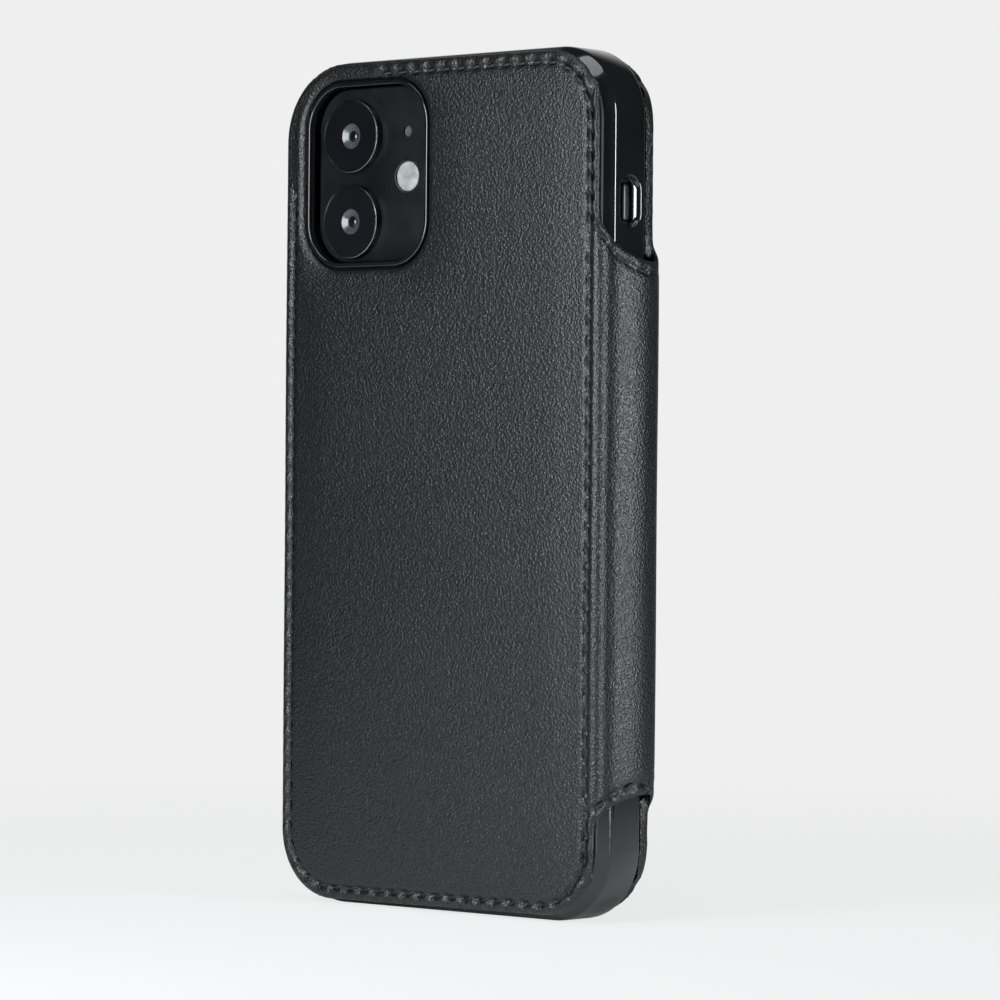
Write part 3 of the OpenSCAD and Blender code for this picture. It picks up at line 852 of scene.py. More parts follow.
def sheet_piece(name, loop, face, thick, way, bend=None, hole=None):
    """A sheet with its outer side at face, looking way; bend(distance from its edge) shifts it."""
    loop = evenly(loop, 0.8)
    loops = [loop[:-1]] + ([hole[:-1]] if hole is not None else [])
    inner = grid(loop[:, 0].min(), loop[:, 0].max(), loop[:, 1].min(), loop[:, 1].max(), 3.0, 3.0)
    inner = inner[inside(inner, loop[:-1])]
    inner = inner[nearest(inner, loop)[0] > 2.3]
    if hole is not None:
        inner = inner[~inside(inner, hole[:-1])]
        inner = inner[nearest(inner, hole)[0] > 1.0]
    rings = edge_rings(loop, [0.1, 0.25, 0.5, 0.9, 1.4, 1.9], 1e3)
    if hole is not None:
        rings = rings[(nearest(rings, hole)[0] > 0.5) & ~inside(rings, hole[:-1])]
    points = np.vstack([inner, rings])
    shift = bend or (lambda away: np.zeros(len(away)))

    def top(flat):
        away = nearest(flat, loop)[0]
        return shift(away) - edge_drop(away, 0.22, 0.5 * thick)

    def below(flat):
        return thick - shift(nearest(flat, loop)[0])

    return skin(name, flat_section(face, way), loops, points, points, top, below)


# %% Linings and pockets
lining_thick = shell_outer - lining_outer - 0.02
rim_lift = 0.46        # how far the seam pinches the lining's rim towards the hide
lining_loop = rounded(0, (hi + lo) / 2, 2 * half - 0.5, hi - lo - 0.5, 12.3)
lining = sheet_piece("back_lining_sheet", lining_loop, lining_outer, lining_thick, -1,
                     lambda away: rim_lift * (1 - ease(away, 0.35, 1.15)), window)
finish_piece(lining, lining_leather, "lining_leather", "case_back", "back_lining")

pocket_face = span("cash_pocket", 1)[0]
leaf_thick = extent("cash_pocket", 1)
leaf_half = 33.0       # half a card leaf's width
cash_loop = rounded(0, (hi + lo) / 2, 2 * half - 2.9, hi - lo - 2.9, 11)
cash = sheet_piece("cash_pocket_sheet", cash_loop, pocket_face, leaf_thick, -1)
finish_piece(cash, lining_leather, "lining_leather", "front_cover", "cash_pocket")


def leaf_loop(foot, mouth):
    """A card leaf's outline: rounded corners, and a thumb dip in its mouth."""
    side, r = leaf_half - 2, 2
    dip = [(x, mouth - 2.4 * math.cos(math.pi * x / 18)**2) for x in np.linspace(9, -9, 25)]
    return np.vstack([arc(side, mouth - r, r, 0, 90, 6), dip, arc(-side, mouth - r, r, 90, 180, 6),
                      arc(-side, foot + r, r, 180, 270, 6), arc(side, foot + r, r, 270, 360, 6),
                      [(leaf_half, mouth - r)]])


for level in ("low", "middle", "high"):
    node_name = "card_pocket_" + level
    face, (foot, mouth) = span(node_name, 1)[0], span(node_name, 2)
    leaf = sheet_piece("card_leaf_" + level, leaf_loop(foot, mouth), face, leaf_thick, -1)
    finish_piece(leaf, outer_leather, "outer_leather", "front_cover", node_name)

# %% Loops of points to a closed skin
def loft(loops, ring=False, capped=True):
    """Points and faces over loops that have the same number of points; a ring joins last to first."""
    size, rows = len(loops[0]), len(loops)
    points = [point for loop in loops for point in loop]
    faces = []
    for row in range(rows if ring else rows - 1):
        a, b = row * size, (row + 1) % rows * size
        faces += [(a + i, a + (i + 1) % size, b + (i + 1) % size, b + i) for i in range(size)]
    if capped and not ring:
        faces += [tuple(range(size)), tuple(range((rows - 1) * size, rows * size))[::-1]]
    return points, faces


# %% The spine's inside
spine_in = span("spine_lining", 0)[0] - centre_x
pad_y0, pad_y1 = middle_y - 1.2, middle_y + 4.4


def spine_pad():
    """A thin pad behind the spine's hide, rounded at its long sides, its ends cut to the sweep."""
    across = [(spine_in + 0.05, pad_y0), (spine_in, pad_y0 + 0.35), (spine_in, pad_y1 - 0.35),
              (spine_in + 0.25, pad_y1), (spine_in + 0.62, pad_y1), (spine_in + 0.6, pad_y0 + 1.8),
              (spine_in + 0.14, pad_y0)]
    rows = []
    for part in np.linspace(0, 1, 30):
        rows.append([(x, y, (bottom_end(y) + 0.6) * (1 - part) + (top_end(y) - 0.6) * part)
                     for x, y in across])
    points, faces = loft(rows, capped=False)
    corners = len(across)
    faces += [tuple(range(corners))[::-1], tuple(range(len(points) - corners, len(points)))]
    return outward(solid("spine_lining_pad", points, faces))


finish_piece(spine_pad(), lining_leather, "lining_leather", "spine", "spine_lining", "spine_board")

# %% [markdown]
# ## The stitches
#
# A saddle stitch is one short length of waxed thread, round in section, that dives into a hole at
# both ends. Hundreds follow the seams, so a Geometry Nodes tree walks along a row, sets one stitch
# at each pitch, turns it along the row and away from the hide, and slants it a little.

# %% The stitch tree
STITCH = {"Pitch": 0.0035, "Length": 0.0024, "Thickness": 0.0006, "Dip": 0.0003, "Slant": 0.16}
LINE_POINTS, ROUND_SIDES = 7, 6


def combine(tree, x, y, z, at):
    made = node(tree, "ShaderNodeCombineXYZ", at)
    for socket, value in zip(made.inputs, (x, y, z)):
        feed(tree, value, socket)
    return made.outputs[0]


def stitch_tree():
    tree = bpy.data.node_groups.new("stitch row", "GeometryNodeTree")
    tree.interface.new_socket("Row", in_out="INPUT", socket_type="NodeSocketGeometry")
    for title, size in STITCH.items():
        socket = tree.interface.new_socket(title, in_out="INPUT", socket_type="NodeSocketFloat")
        socket.default_value = size
    tree.interface.new_socket("Thread", in_out="INPUT", socket_type="NodeSocketMaterial")
    tree.interface.new_socket("Stitches", in_out="OUTPUT", socket_type="NodeSocketGeometry")
    source = node(tree, "NodeGroupInput", (-1200, 0))
    result = node(tree, "NodeGroupOutput", (1200, 0))
    join = tree.links.new

    path = node(tree, "GeometryNodeMeshToCurve", (-1000, 300))
    join(source.outputs["Row"], path.inputs["Mesh"])
    places = node(tree, "GeometryNodeResampleCurve", (-800, 300), mode="LENGTH")
    join(path.outputs["Curve"], places.inputs["Curve"])
    join(source.outputs["Pitch"], places.inputs["Length"])

    half_length = maths(tree, "MULTIPLY", source.outputs["Length"], 0.5, (-1000, -200))
    line = node(tree, "GeometryNodeCurvePrimitiveLine", (-800, -200))
    back_half = maths(tree, "MULTIPLY", half_length, -1.0, (-900, -300))
    join(combine(tree, back_half, 0.0, 0.0, (-850, -350)), line.inputs["Start"])
    join(combine(tree, half_length, 0.0, 0.0, (-850, -450)), line.inputs["End"])
    short = node(tree, "GeometryNodeResampleCurve", (-600, -200), mode="COUNT")
    short.inputs["Count"].default_value = LINE_POINTS
    join(line.outputs["Curve"], short.inputs["Curve"])
    where = node(tree, "ShaderNodeSeparateXYZ", (-800, -600))
    join(node(tree, "GeometryNodeInputPosition", (-1000, -600)).outputs[0], where.inputs[0])
    share = maths(tree, "DIVIDE", where.outputs["X"], half_length, (-600, -500))
    square = maths(tree, "MULTIPLY", share, share, (-450, -500))
    dip = maths(tree, "MULTIPLY", source.outputs["Dip"], -1.0, (-450, -700))
    drop = maths(tree, "MULTIPLY", square, dip, (-300, -600))
    arch = node(tree, "GeometryNodeSetPosition", (-300, -200))
    join(short.outputs["Curve"], arch.inputs["Geometry"])
    join(combine(tree, 0.0, 0.0, drop, (-200, -500)), arch.inputs["Offset"])
    taper = node(tree, "GeometryNodeSetCurveRadius", (-100, -200))
    join(arch.outputs["Geometry"], taper.inputs["Curve"])
    thinner = maths(tree, "MULTIPLY", square, 0.45, (-300, -400))
    thick = maths(tree, "SUBTRACT", 1.0, thinner, (-200, -350))
    round_one = node(tree, "GeometryNodeCurvePrimitiveCircle", (-100, -450))
    round_one.inputs["Resolution"].default_value = ROUND_SIDES
    radius = maths(tree, "MULTIPLY", source.outputs["Thickness"], 0.5, (-300, -800))
    join(radius, round_one.inputs["Radius"])
    join(thick, taper.inputs["Radius"])
    stitch = node(tree, "GeometryNodeCurveToMesh", (100, -200))
    stitch.inputs["Fill Caps"].default_value = True
    join(taper.outputs["Curve"], stitch.inputs["Curve"])
    join(round_one.outputs["Curve"], stitch.inputs["Profile Curve"])
    if "Scale" in stitch.inputs:
        join(thick, stitch.inputs["Scale"])

    away = node(tree, "GeometryNodeInputNamedAttribute", (-400, 600), data_type="FLOAT_VECTOR")
    away.inputs["Name"].default_value = "away"
    stand = node(tree, "FunctionNodeAlignRotationToVector", (-200, 600), axis="Z")
    join(away.outputs["Attribute"], stand.inputs["Vector"])
    point = node(tree, "FunctionNodeAlignRotationToVector", (0, 600), axis="X", pivot_axis="Z")
    join(stand.outputs[0], point.inputs["Rotation"])
    join(node(tree, "GeometryNodeInputTangent", (-200, 400)).outputs[0], point.inputs["Vector"])
    lean = node(tree, "FunctionNodeRotateRotation", (200, 600), rotation_space="LOCAL")
    join(point.outputs[0], lean.inputs["Rotation"])
    join(combine(tree, 0.0, 0.0, source.outputs["Slant"], (0, 400)), lean.inputs["Rotate By"])
    copies = node(tree, "GeometryNodeInstanceOnPoints", (400, 200))
    join(places.outputs["Curve"], copies.inputs["Points"])
    join(stitch.outputs["Mesh"], copies.inputs["Instance"])
    join(lean.outputs[0], copies.inputs["Rotation"])
    real = node(tree, "GeometryNodeRealizeInstances", (600, 200))
    join(copies.outputs["Instances"], real.inputs["Geometry"])
    paint = node(tree, "GeometryNodeSetMaterial", (800, 200))
    join(real.outputs["Geometry"], paint.inputs["Geometry"])
    join(source.outputs["Thread"], paint.inputs["Material"])
    join(paint.outputs["Geometry"], result.inputs["Stitches"])
    return tree


stitches = stitch_tree()
inputs_of = {item.name: item.identifier for item in stitches.interface.items_tree
             if item.in_out == "INPUT"}
print("stitch tree has", len(stitches.nodes), "nodes")

# %% Rows to stitches
def stitch_piece(name, rows, **sizes):
    """rows are (section, row of (u, z), height over the face) in mm; the result is one plain mesh."""
    points, away, edges = [], [], []
    for section, row, height in rows:
        along = lengths(row)
        count = int(along[-1] / pitch)
        spots = np.linspace(pitch / 2, pitch / 2 + (count - 1) * pitch, (count - 1) * 6 + 1)
        flat = np.column_stack([np.interp(spots, along, row[:, k]) for k in range(2)])
        base = lay(section, flat[:, 0], flat[:, 1], np.full(len(flat), height))
        lifted = lay(section, flat[:, 0], flat[:, 1], np.full(len(flat), height + 1.0))
        first = len(points)
        points += base.tolist()
        away += (lifted - base).tolist()
        edges += [(first + i, first + i + 1) for i in range(len(base) - 1)]
    mesh = bpy.data.meshes.new(name)
    mesh.from_pydata(metres(points), edges, [])
    attribute = mesh.attributes.new("away", "FLOAT_VECTOR", "POINT")
    attribute.data.foreach_set("vector", np.ravel(away))
    piece = in_scene(name, mesh)
    modifier = piece.modifiers.new("stitch row", "NODES")
    modifier.node_group = stitches
    modifier[inputs_of["Pitch"]] = pitch * MM * 0.9999      # so that the last one isn't lost
    modifier[inputs_of["Thread"]] = thread
    for title, value in sizes.items():
        modifier[inputs_of[title.capitalize()]] = value
    plain = made_plain(piece)
    plain.name = name
    plain.polygons.foreach_set("use_smooth", [True] * len(plain.polygons))
    return piece


# %% The case's rows of stitches
sink = -0.27           # how deep the thread lies in its groove
back_stitches = stitch_piece("back_stitches", [(back_section, back_row, sink)])
finish_piece(back_stitches, thread, "thread", "case_back", "back_stitching")
end_stitches = stitch_piece("spine_end_stitches",
                            [(back_section, top_row, sink), (back_section, bottom_row, sink)])
finish_piece(end_stitches, thread, "thread", None, "spine_stitching")
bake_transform(end_stitches)
cover_stitches = stitch_piece("cover_stitches", [(front_section, front_row, sink)])
finish_piece(cover_stitches, thread, "thread", "front_cover", "cover_stitching")

low_face, (low_foot, low_mouth) = span("card_pocket_low", 1)[0], span("card_pocket_low", 2)
pocket_x = leaf_half - 1.8
pocket_hi, pocket_lo = low_mouth - 1.5, low_foot + 1.8
pocket_row = evenly(np.array([(pocket_x, pocket_hi), (pocket_x, pocket_lo),
                              (-pocket_x, pocket_lo), (-pocket_x, pocket_hi)]), 0.7)
pocket_stitches = stitch_piece("pocket_stitches", [(flat_section(low_face, -1), pocket_row, 0.0)],
                               thickness=0.0004, length=0.0022, dip=0.0002)
finish_piece(pocket_stitches, thread, "thread", "front_cover", "pocket_stitching")

# %% [markdown]
# ## Swept shells
#
# The tray, the camera block and the ring round the camera window are all one profile swept round a
# rounded rectangle. Each profile point is (inset from the outline, depth), and each gives one loop
# of the same number of points, so faces simply join loop to loop.

# %% Swept profiles and cuts
def swept(name, x, z, w, h, r, profile, ring=False, count=20):
    """A profile of (inset, depth) swept round a rounded rectangle about (x, z)."""
    loops = []
    for inset, y in profile:
        loop = rounded(x, z, w - 2 * inset, h - 2 * inset, max(r - inset, 0.05), count)[:-1]
        loops.append([(u, y, v) for u, v in loop])
    return outward(solid(name, *loft(loops, ring), 35))


def quarter(inset, y, radius, first, last, steps=7):
    """Profile points on a rounded corner about (inset, y)."""
    t = np.radians(np.linspace(first, last, steps))
    return [(inset + radius * math.cos(a), y + radius * math.sin(a)) for a in t]


def cut_with(piece, tools, operation="DIFFERENCE"):
    """Cuts the tools out of a piece, or joins them on, and takes the tools away."""
    for tool in tools:
        modifier = piece.modifiers.new(tool.name, "BOOLEAN")
        modifier.operation, modifier.solver, modifier.object = operation, "EXACT", tool
    made_plain(piece)
    for tool in tools:
        bpy.data.objects.remove(tool)


# %% [markdown]
# ## The hard tray
#
# The tray is moulded in one piece: a rounded back edge, a straight side and a small lip over the
# phone's edge. The openings are cut with tools that flare at the outside, because a moulded hole
# has a soft rim. The wall round the camera window is a raised ring joined on.

# %% Tray body
felt_back = span("shell_felt", 1)[0]
phone_front = span("phone_screen", 1)[1]
rim_round, wall, lip, lip_round = 0.6, 1.5, 2.0, 0.12
tray_r = 12.4
slope = [(2.3, 0), (1.85, 0.0), (1.5, 0.14), (1.15, 0.6), (0.75, 1.15), (0.38, 1.68), (0.12, 2.1),
         (0.0, 2.55)]
tray_profile = through([(inset, shell_outer + y) for inset, y in slope], 0.12).tolist()
tray_profile += quarter(rim_round, rim_front - rim_round, rim_round, 180, 90, 7)
tray_profile += quarter(lip - 0.3, rim_front - lip_round, lip_round, 90, 0, 4)
tray_profile += [(lip - 0.18, phone_front + 0.1), (wall, phone_front + 0.1), (wall, felt_back),
                 (wall + 1.2, felt_back)]
tray = swept("hard_tray", 0, shell_h / 2, shell_w, shell_h, tray_r, tray_profile, count=24)

# %% Tools that cut the tray's openings
volume_low, volume_high = span("phone_volume_down", 2)[0], span("phone_volume_up", 2)[1]
slot_y = middle_y + 0.8


def slot_tool(name, side, middle_z, length, width, flare_y, flare_z):
    """A round-ended hole through a side wall; (depth past the wall, share of the flare) in loops."""
    loops = []
    for depth, open_by in ((0.6, 1.1), (0.0, 0.9), (-0.08, 0.7), (-0.3, 0.55), (-0.62, 0.48),
                           (-0.72, 0.4), (-0.76, 0.12), (-0.9, 0.0), (-2.5, 0.0)):
        w, h = width + 2 * flare_y * open_by, length + 2 * flare_z * open_by
        loop = rounded(slot_y, middle_z, w, h, w / 2 - 0.01, 10)[:-1]
        loops.append([(side * (shell_w / 2 + depth), y, z) for y, z in loop])
    return outward(solid(name, *loft(loops)))


def port_tool():
    """The wide hole in the tray's foot for the socket and the speakers."""
    loops = []
    for z, open_by in ((-0.6, 0.9), (0.0, 0.6), (0.15, 0.3), (0.45, 0.0), (2.4, 0.0)):
        loop = rounded(0, slot_y, 45.2 + 2 * open_by, 5.2 + 2 * open_by, 2.59 + open_by, 10)[:-1]
        loops.append([(x, y, z) for x, y in loop])
    return outward(solid("port tool", *loft(loops)))


# %% Cut the openings and join on the window's rim
bezel_w, bezel_h, bezel_r, bezel_wall, bezel_round = 29.3, 32.9, 8.2, 0.8, 0.3
bezel_profile = [(0, shell_outer + 0.3)]
bezel_profile += quarter(bezel_round, bezel_face + bezel_round, bezel_round, 180, 270, 5)
bezel_profile += quarter(bezel_wall - bezel_round, bezel_face + bezel_round, bezel_round, 270, 360, 5)
bezel_profile += [(bezel_wall, felt_back - 0.01), (bezel_wall - 0.4, felt_back - 0.01)]
bezel = swept("bezel tool", window_x, window_z, bezel_w, bezel_h, bezel_r, bezel_profile, ring=True)
opening = swept("window tool", window_x, window_z, bezel_w - 2 * bezel_wall,
                bezel_h - 2 * bezel_wall, 7.4, [(0, shell_outer - 1), (0, felt_back + 1)])
mute_tool = slot_tool("mute tool", 1, middle("phone_mute_switch", 2), 7.9, 3.3, 1.55, 0.85)
volume_tool = slot_tool("volume tool", 1, (volume_low + volume_high) / 2, 25, 3.6, 1.2, 0.8)
side_tool = slot_tool("side tool", -1, middle("phone_side_button", 2), 21, 3.6, 1.2, 0.8)
cut_with(tray, [opening, mute_tool, volume_tool, side_tool, port_tool()])
cut_with(tray, [bezel], "UNION")
smooth(tray.data)
finish_piece(tray, tray_plastic, "shell_plastic", "case_back", "shell")

# %% [markdown]
# ## The phone's camera
#
# A raised block with soft edges carries two lenses, a flash and a microphone. Lens parts are turned
# on a lathe, so each is made as a profile spun round its axis: a metal ring, a black glass face
# with a hole in its middle, a coated element that slopes down into the hole like a bowl, and the
# dark pupil at its foot.

# %% Camera block
block_face, block_back = span("phone_camera_plateau", 1)
block_x, block_z = middle("phone_camera_plateau", 0) - centre_x, middle("phone_camera_plateau", 2)
block_w, block_h = extent("phone_camera_plateau", 0), extent("phone_camera_plateau", 2)
block_r, block_round = 7.3, 0.55
block_profile = [(0, block_back)]
block_profile += quarter(block_round, block_face + block_round, block_round, 180, 270, 8)
block = swept("camera_block", block_x, block_z, block_w, block_h, block_r, block_profile)


def turned(name, x, z, profile, steps=72):
    """A profile of (radius, depth) spun round an axis along Y; closed on the axis or as a ring."""
    angles = 2 * np.pi * np.arange(steps) / steps
    loops = [[(x + r * math.cos(a), y, z + r * math.sin(a)) for a in angles] for r, y in profile]
    ring = profile[0][0] > 0.02
    return outward(solid(name, *loft(loops, ring, capped=False), 35), merge=1e-7)


flash_x = middle("phone_flash", 0) - centre_x
flash_z, mic_z = middle("phone_flash", 2), middle("phone_microphone", 2)
flash_r, mic_r, well = 2.9, 1.0, 0.6
flash_well, mic_well = ([(0.0, block_face - 1), (r, block_face - 1), (r, block_face + well),
                         (0.0, block_face + well)] for r in (flash_r + 0.25, mic_r))
cut_with(block, [turned("flash well", flash_x, flash_z, flash_well),
                 turned("mic well", flash_x, mic_z, mic_well, 32)])
smooth(block.data)
finish_piece(block, block_satin, "camera_block", "case_back", "phone_camera_plateau")

# %% Lenses
hole_r, pupil_r = 2.25, 1.0
for side in ("upper", "lower"):
    ring_node, glass_node = "phone_lens_ring_" + side, "phone_lens_glass_" + side
    at = middle(ring_node, 0) - centre_x, middle(ring_node, 2)
    ring_r, glass_r = extent(ring_node, 2) / 2, extent(glass_node, 2) / 2
    top, floor_y = span(ring_node, 1)
    face_r = ring_r - 0.38
    ring_profile = [(ring_r, floor_y), (ring_r, top + 0.3), (ring_r - 0.08, top + 0.08),
                    (ring_r - 0.2, top), (ring_r - 0.32, top + 0.03), (face_r + 0.02, top + 0.12),
                    (face_r + 0.02, top + 0.3), (glass_r + 0.02, top + 0.3),
                    (glass_r + 0.02, floor_y)]
    face_profile = [(face_r - 0.02, top + 0.26), (face_r - 0.02, top + 0.15),
                    (face_r - 0.15, top + 0.1), (4.0, top + 0.07), (2.45, top + 0.06),
                    (2.3, top + 0.1), (hole_r, top + 0.2), (hole_r, floor_y - 0.02),
                    (glass_r - 0.02, floor_y - 0.02), (glass_r - 0.02, top + 0.26)]
    bowl_profile = [(hole_r - 0.02, top + 0.25), (2.0, top + 0.34), (1.5, top + 0.62),
                    (1.12, top + 0.8), (pupil_r, top + 0.82), (pupil_r, floor_y - 0.03),
                    (hole_r - 0.02, floor_y - 0.03)]
    pupil_profile = [(0.0, top + 0.66), (0.25, top + 0.68), (0.6, top + 0.78), (0.85, top + 0.92),
                     (pupil_r - 0.02, top + 1.08), (pupil_r - 0.02, floor_y - 0.05),
                     (0.0, floor_y - 0.05)]
    ring = turned("lens_ring_" + side, *at, ring_profile, 96)
    finish_piece(ring, ring_metal, "lens_metal", "case_back", ring_node)
    glass = turned("lens_face_" + side, *at, face_profile, 96)
    finish_piece(glass, phone_glass, "lens_glass", "case_back", glass_node)
    bowl = turned("lens_element_" + side, *at, bowl_profile, 64)
    finish_piece(bowl, element_coat, "lens_glass", "case_back")
    pupil = turned("lens_pupil_" + side, *at, pupil_profile, 48)
    finish_piece(pupil, phone_glass, "lens_glass", "case_back")

# %% Flash and microphone
lens_edge = flash_r - 0.25
flash_profile = [(0.0, block_face + 0.02), (1.2, block_face + 0.05), (2.2, block_face + 0.1),
                 (flash_r - 0.35, block_face + 0.2), (lens_edge, block_face + 0.35),
                 (lens_edge, block_face + well), (0.0, block_face + well)]
flash = turned("flash_lens", flash_x, flash_z, flash_profile, 48)
finish_piece(flash, flash_frost, "flash_lens", "case_back", "phone_flash")
collar = [(flash_r + 0.22, block_face + well), (flash_r + 0.22, block_face + 0.1),
          (flash_r + 0.12, block_face), (flash_r - 0.1, block_face + 0.05),
          (flash_r - 0.23, block_face + 0.2), (flash_r - 0.23, block_face + well)]
flash_ring = turned("flash_ring", flash_x, flash_z, collar, 48)
finish_piece(flash_ring, barrel_black, "camera_block", "case_back")
mesh_edge = mic_r - 0.02
mesh_profile = [(0.0, block_face + 0.3), (0.6, block_face + 0.32), (mesh_edge, block_face + 0.4),
                (mesh_edge, block_face + well), (0.0, block_face + well)]
mesh_disc = turned("microphone_mesh", flash_x, mic_z, mesh_profile, 32)
finish_piece(mesh_disc, felt_finish, "inner_parts", "case_back", "phone_microphone")

# %% [markdown]
# ## Buttons and screen
#
# Machined parts never have knife edges. A copy of the CAD node with its corners merged and a small
# bevel on its hard edges keeps the shape and catches a line of light. The other CAD nodes keep
# their meshes and only get a finish.

# %% Softened copies
def softened(name, node_name, width, material, slot, body):
    """A copy of a CAD node with its corners merged and a bevel of width mm, finished as a piece."""
    piece = in_scene(name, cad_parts[node_name].data.copy())
    mesh = bmesh.new()
    mesh.from_mesh(piece.data)
    bmesh.ops.remove_doubles(mesh, verts=mesh.verts, dist=1e-6)
    bmesh.ops.dissolve_limit(mesh, angle_limit=math.radians(1), verts=mesh.verts, edges=mesh.edges)
    mesh.to_mesh(piece.data)
    mesh.free()
    bevel = piece.modifiers.new("soft edges", "BEVEL")
    bevel.width, bevel.segments, bevel.limit_method = width * MM, 3, "ANGLE"
    bevel.angle_limit = math.radians(40)
    smooth(made_plain(piece))
    finish_piece(piece, material, slot, body, node_name)


key_bevel, slider_bevel, glass_bevel = 0.15, 0.6, 0.25
softened("mute_slider", "phone_mute_switch", slider_bevel, phone_metal, "phone_metal", "mute_switch")
softened("volume_up_key", "phone_volume_up", key_bevel, phone_metal, "phone_metal", "volume_up")
softened("volume_down_key", "phone_volume_down", key_bevel, phone_metal, "phone_metal", "volume_down")
softened("side_key", "phone_side_button", key_bevel, phone_metal, "phone_metal", "side_button")

# %% The screen: a dark panel under glass, with a slightly lighter picture area
picture_half = {"X": 0.0322, "Z": 0.0700}
screen_finish, tree, shader = finish_of("screen glass", 0.06, coat_weight=1.0, coat_roughness=0.02)
where = node(tree, "ShaderNodeSeparateXYZ", (-1300, 300))
place_on = node(tree, "ShaderNodeTexCoord", (-1500, 300)).outputs["Object"]
tree.links.new(place_on, where.inputs[0])


def within(letter, axis, z):
    """1 inside the picture's width or height, 0 outside."""
    centre = middle("phone_screen", axis) * MM
    off = maths(tree, "SUBTRACT", where.outputs[letter], centre, (-1100, z))
    away = maths(tree, "ABSOLUTE", off, 0, (-950, z))
    return maths(tree, "LESS_THAN", away, picture_half[letter], (-800, z))


picture = maths(tree, "MULTIPLY", within("X", 0, 400), within("Z", 2, 200), (-650, 300))
colour = ramp(tree, picture, (0.004, 0.004, 0.004), (0.012, 0.012, 0.014))
tree.links.new(colour, shader.inputs["Base Color"])
touch = use(tree, cloud, (-700, -100), size=22.0)
tree.links.new(spread(tree, touch.outputs["Mask"], 0.04, 0.12), shader.inputs["Roughness"])
softened("screen_glass", "phone_screen", glass_bevel, screen_finish, "phone_glass", "case_back")

# %% Finishes for the CAD nodes that stay
kept = {"back_board": board_finish, "cover_board": board_finish, "shell_felt": felt_finish,
        "phone_band": phone_metal, "phone_back_glass": phone_glass, "phone_inner_block": inner_metal,
        "phone_port": socket_metal}
for name, material in kept.items():
    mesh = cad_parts[name].data
    mesh.materials.clear()
    mesh.materials.append(material)
    for polygon in mesh.polygons:
        polygon.material_index = 0
print("finished CAD nodes:", list(kept))

# %% [markdown]
# ## Studio
#
# The floor is pale and fades into an even pale background. A small soft light stands close in front,
# a tall strip on the right lights the spine and the tray's edge, and a wide soft light hangs
# overhead. The surroundings are dark except behind the case, so that the gloss has an edge to show.

# %% Floor
PALE = (0.863, 0.863, 0.863, 1)
floor_r, fade_from, fade_to = 0.45, 0.12, 0.42       # the floor is clear at its rim
glow_share = 0.9

stage_material = bpy.data.materials.new("pale floor")
stage_material.use_nodes = True
tree = stage_material.node_tree
tree.nodes.clear()
coordinate = node(tree, "ShaderNodeTexCoord", (-900, 0))
far = node(tree, "ShaderNodeVectorMath", (-700, 0), operation="LENGTH")
tree.links.new(coordinate.outputs["Object"], far.inputs[0])
fade = node(tree, "ShaderNodeMapRange", (-500, 0), interpolation_type="SMOOTHSTEP")
fade.inputs["From Min"].default_value = fade_from
fade.inputs["From Max"].default_value = fade_to
tree.links.new(far.outputs["Value"], fade.inputs["Value"])
matte = node(tree, "ShaderNodeBsdfDiffuse", (-500, 300))
matte.inputs["Color"].default_value = (0.86, 0.86, 0.86, 1)
glow = node(tree, "ShaderNodeEmission", (-500, 200))
glow.inputs["Color"].default_value = PALE
view_ray = node(tree, "ShaderNodeLightPath", (-700, 500))
share = maths(tree, "MULTIPLY", view_ray.outputs["Is Camera Ray"], glow_share, (-500, 500))


def mixed(tree, factor, first, second, at):
    made = node(tree, "ShaderNodeMixShader", at)
    for socket, value in zip(made.inputs, (factor, first, second)):
        tree.links.new(value, socket)
    return made.outputs[0]


even = mixed(tree, share, matte.outputs[0], glow.outputs[0], (-300, 200))
clear_shader = node(tree, "ShaderNodeBsdfTransparent", (-300, -100))
faded = mixed(tree, fade.outputs["Result"], even, clear_shader.outputs[0], (0, 0))
tree.links.new(faded, node(tree, "ShaderNodeOutputMaterial", (300, 0)).inputs["Surface"])

bpy.ops.mesh.primitive_circle_add(vertices=96, radius=floor_r, fill_type="NGON")
floor = bpy.context.object
floor.name = "floor"
floor.location.z = -0.00002
floor.data.materials.append(stage_material)
print("floor:", floor_r * 2, "m across")

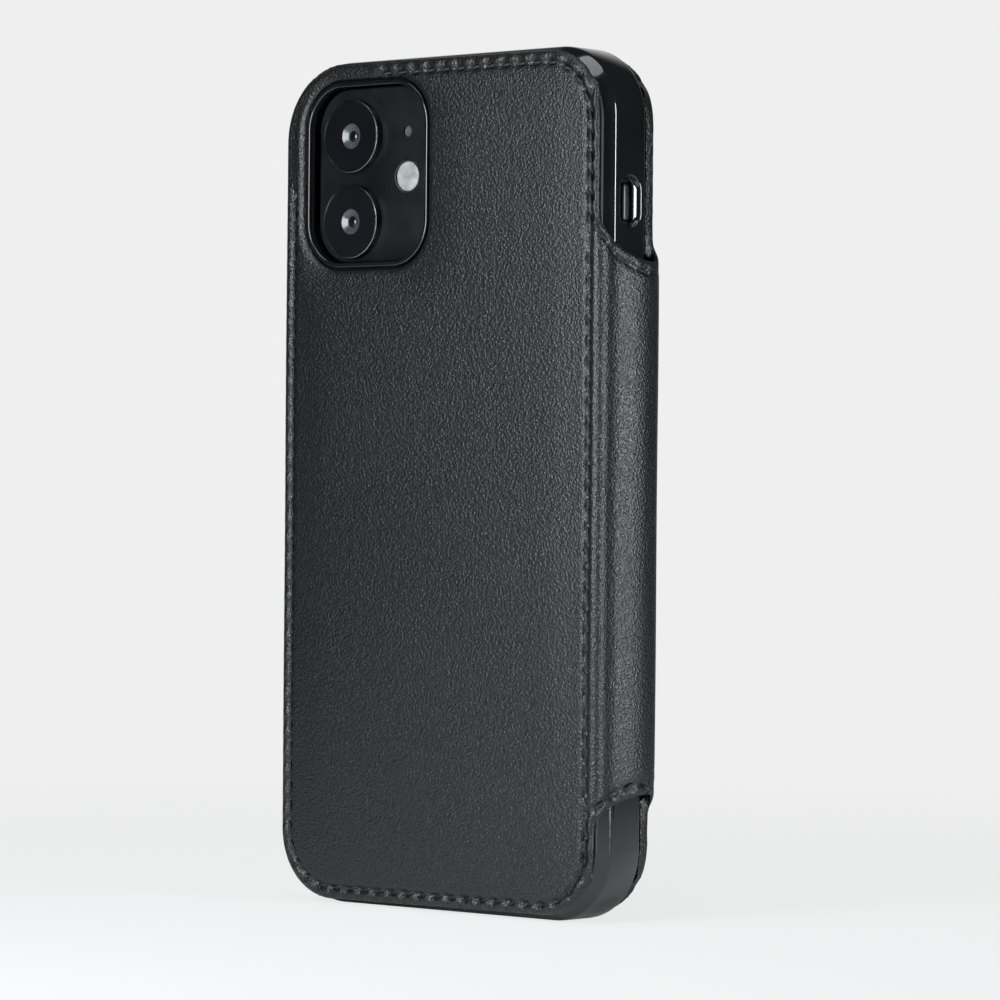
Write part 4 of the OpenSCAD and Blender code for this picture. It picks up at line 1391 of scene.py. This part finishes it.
# %% Background and surroundings
backdrop = (-0.66, 0.75, 0.0)        # the way to the bright wall behind the case
world = bpy.data.worlds.new("studio")
bpy.context.scene.world = world
world.use_nodes = True
tree = world.node_tree
tree.nodes.clear()
seen = node(tree, "ShaderNodeBackground", (0, 200))
seen.inputs["Color"].default_value = PALE
around_case = node(tree, "ShaderNodeBackground", (0, 0))
direction = node(tree, "ShaderNodeTexCoord", (-900, 0))
to_backdrop = node(tree, "ShaderNodeVectorMath", (-700, 0), operation="DOT_PRODUCT")
to_backdrop.inputs[1].default_value = backdrop
tree.links.new(direction.outputs["Generated"], to_backdrop.inputs[0])
lit = node(tree, "ShaderNodeMapRange", (-500, 0), interpolation_type="SMOOTHSTEP")
for title, value in {"From Min": 0.6, "From Max": 0.92, "To Min": 0.035, "To Max": 0.85}.items():
    lit.inputs[title].default_value = value
tree.links.new(to_backdrop.outputs["Value"], lit.inputs["Value"])
tree.links.new(lit.outputs["Result"], around_case.inputs["Strength"])
ray = node(tree, "ShaderNodeLightPath", (-200, 400))
chosen = mixed(tree, ray.outputs["Is Camera Ray"], around_case.outputs[0], seen.outputs[0],
               (250, 100))
tree.links.new(chosen, node(tree, "ShaderNodeOutputWorld", (450, 100)).inputs["Surface"])
bpy.context.scene.view_settings.view_transform = "Standard"
print("surroundings brightest towards", backdrop)


# %% Soft lights
def softbox(name, place, aim, width, height, power):
    """A soft light width by height metres at place, turned to aim."""
    lamp = in_scene(name, bpy.data.lights.new(name, "AREA"))
    lamp.data.shape, lamp.data.size, lamp.data.size_y = "RECTANGLE", width, height
    lamp.data.energy, lamp.data.color = power, (0.88, 0.95, 1.0)
    lamp.location = place
    lamp.rotation_euler = (Vector(aim) - Vector(place)).to_track_quat("-Z", "Y").to_euler()


softbox("front key", (0.012, -0.26, 0.145), (0.036, 0, 0.12), 0.12, 0.2, 1.2)
softbox("right strip", (0.75, 0.05, 0.12), (0.035, 0, 0.08), 0.09, 0.55, 6.5)
softbox("overhead", (0.08, -0.22, 0.88), (0, 0, 0.05), 0.6, 0.6, 3.6)
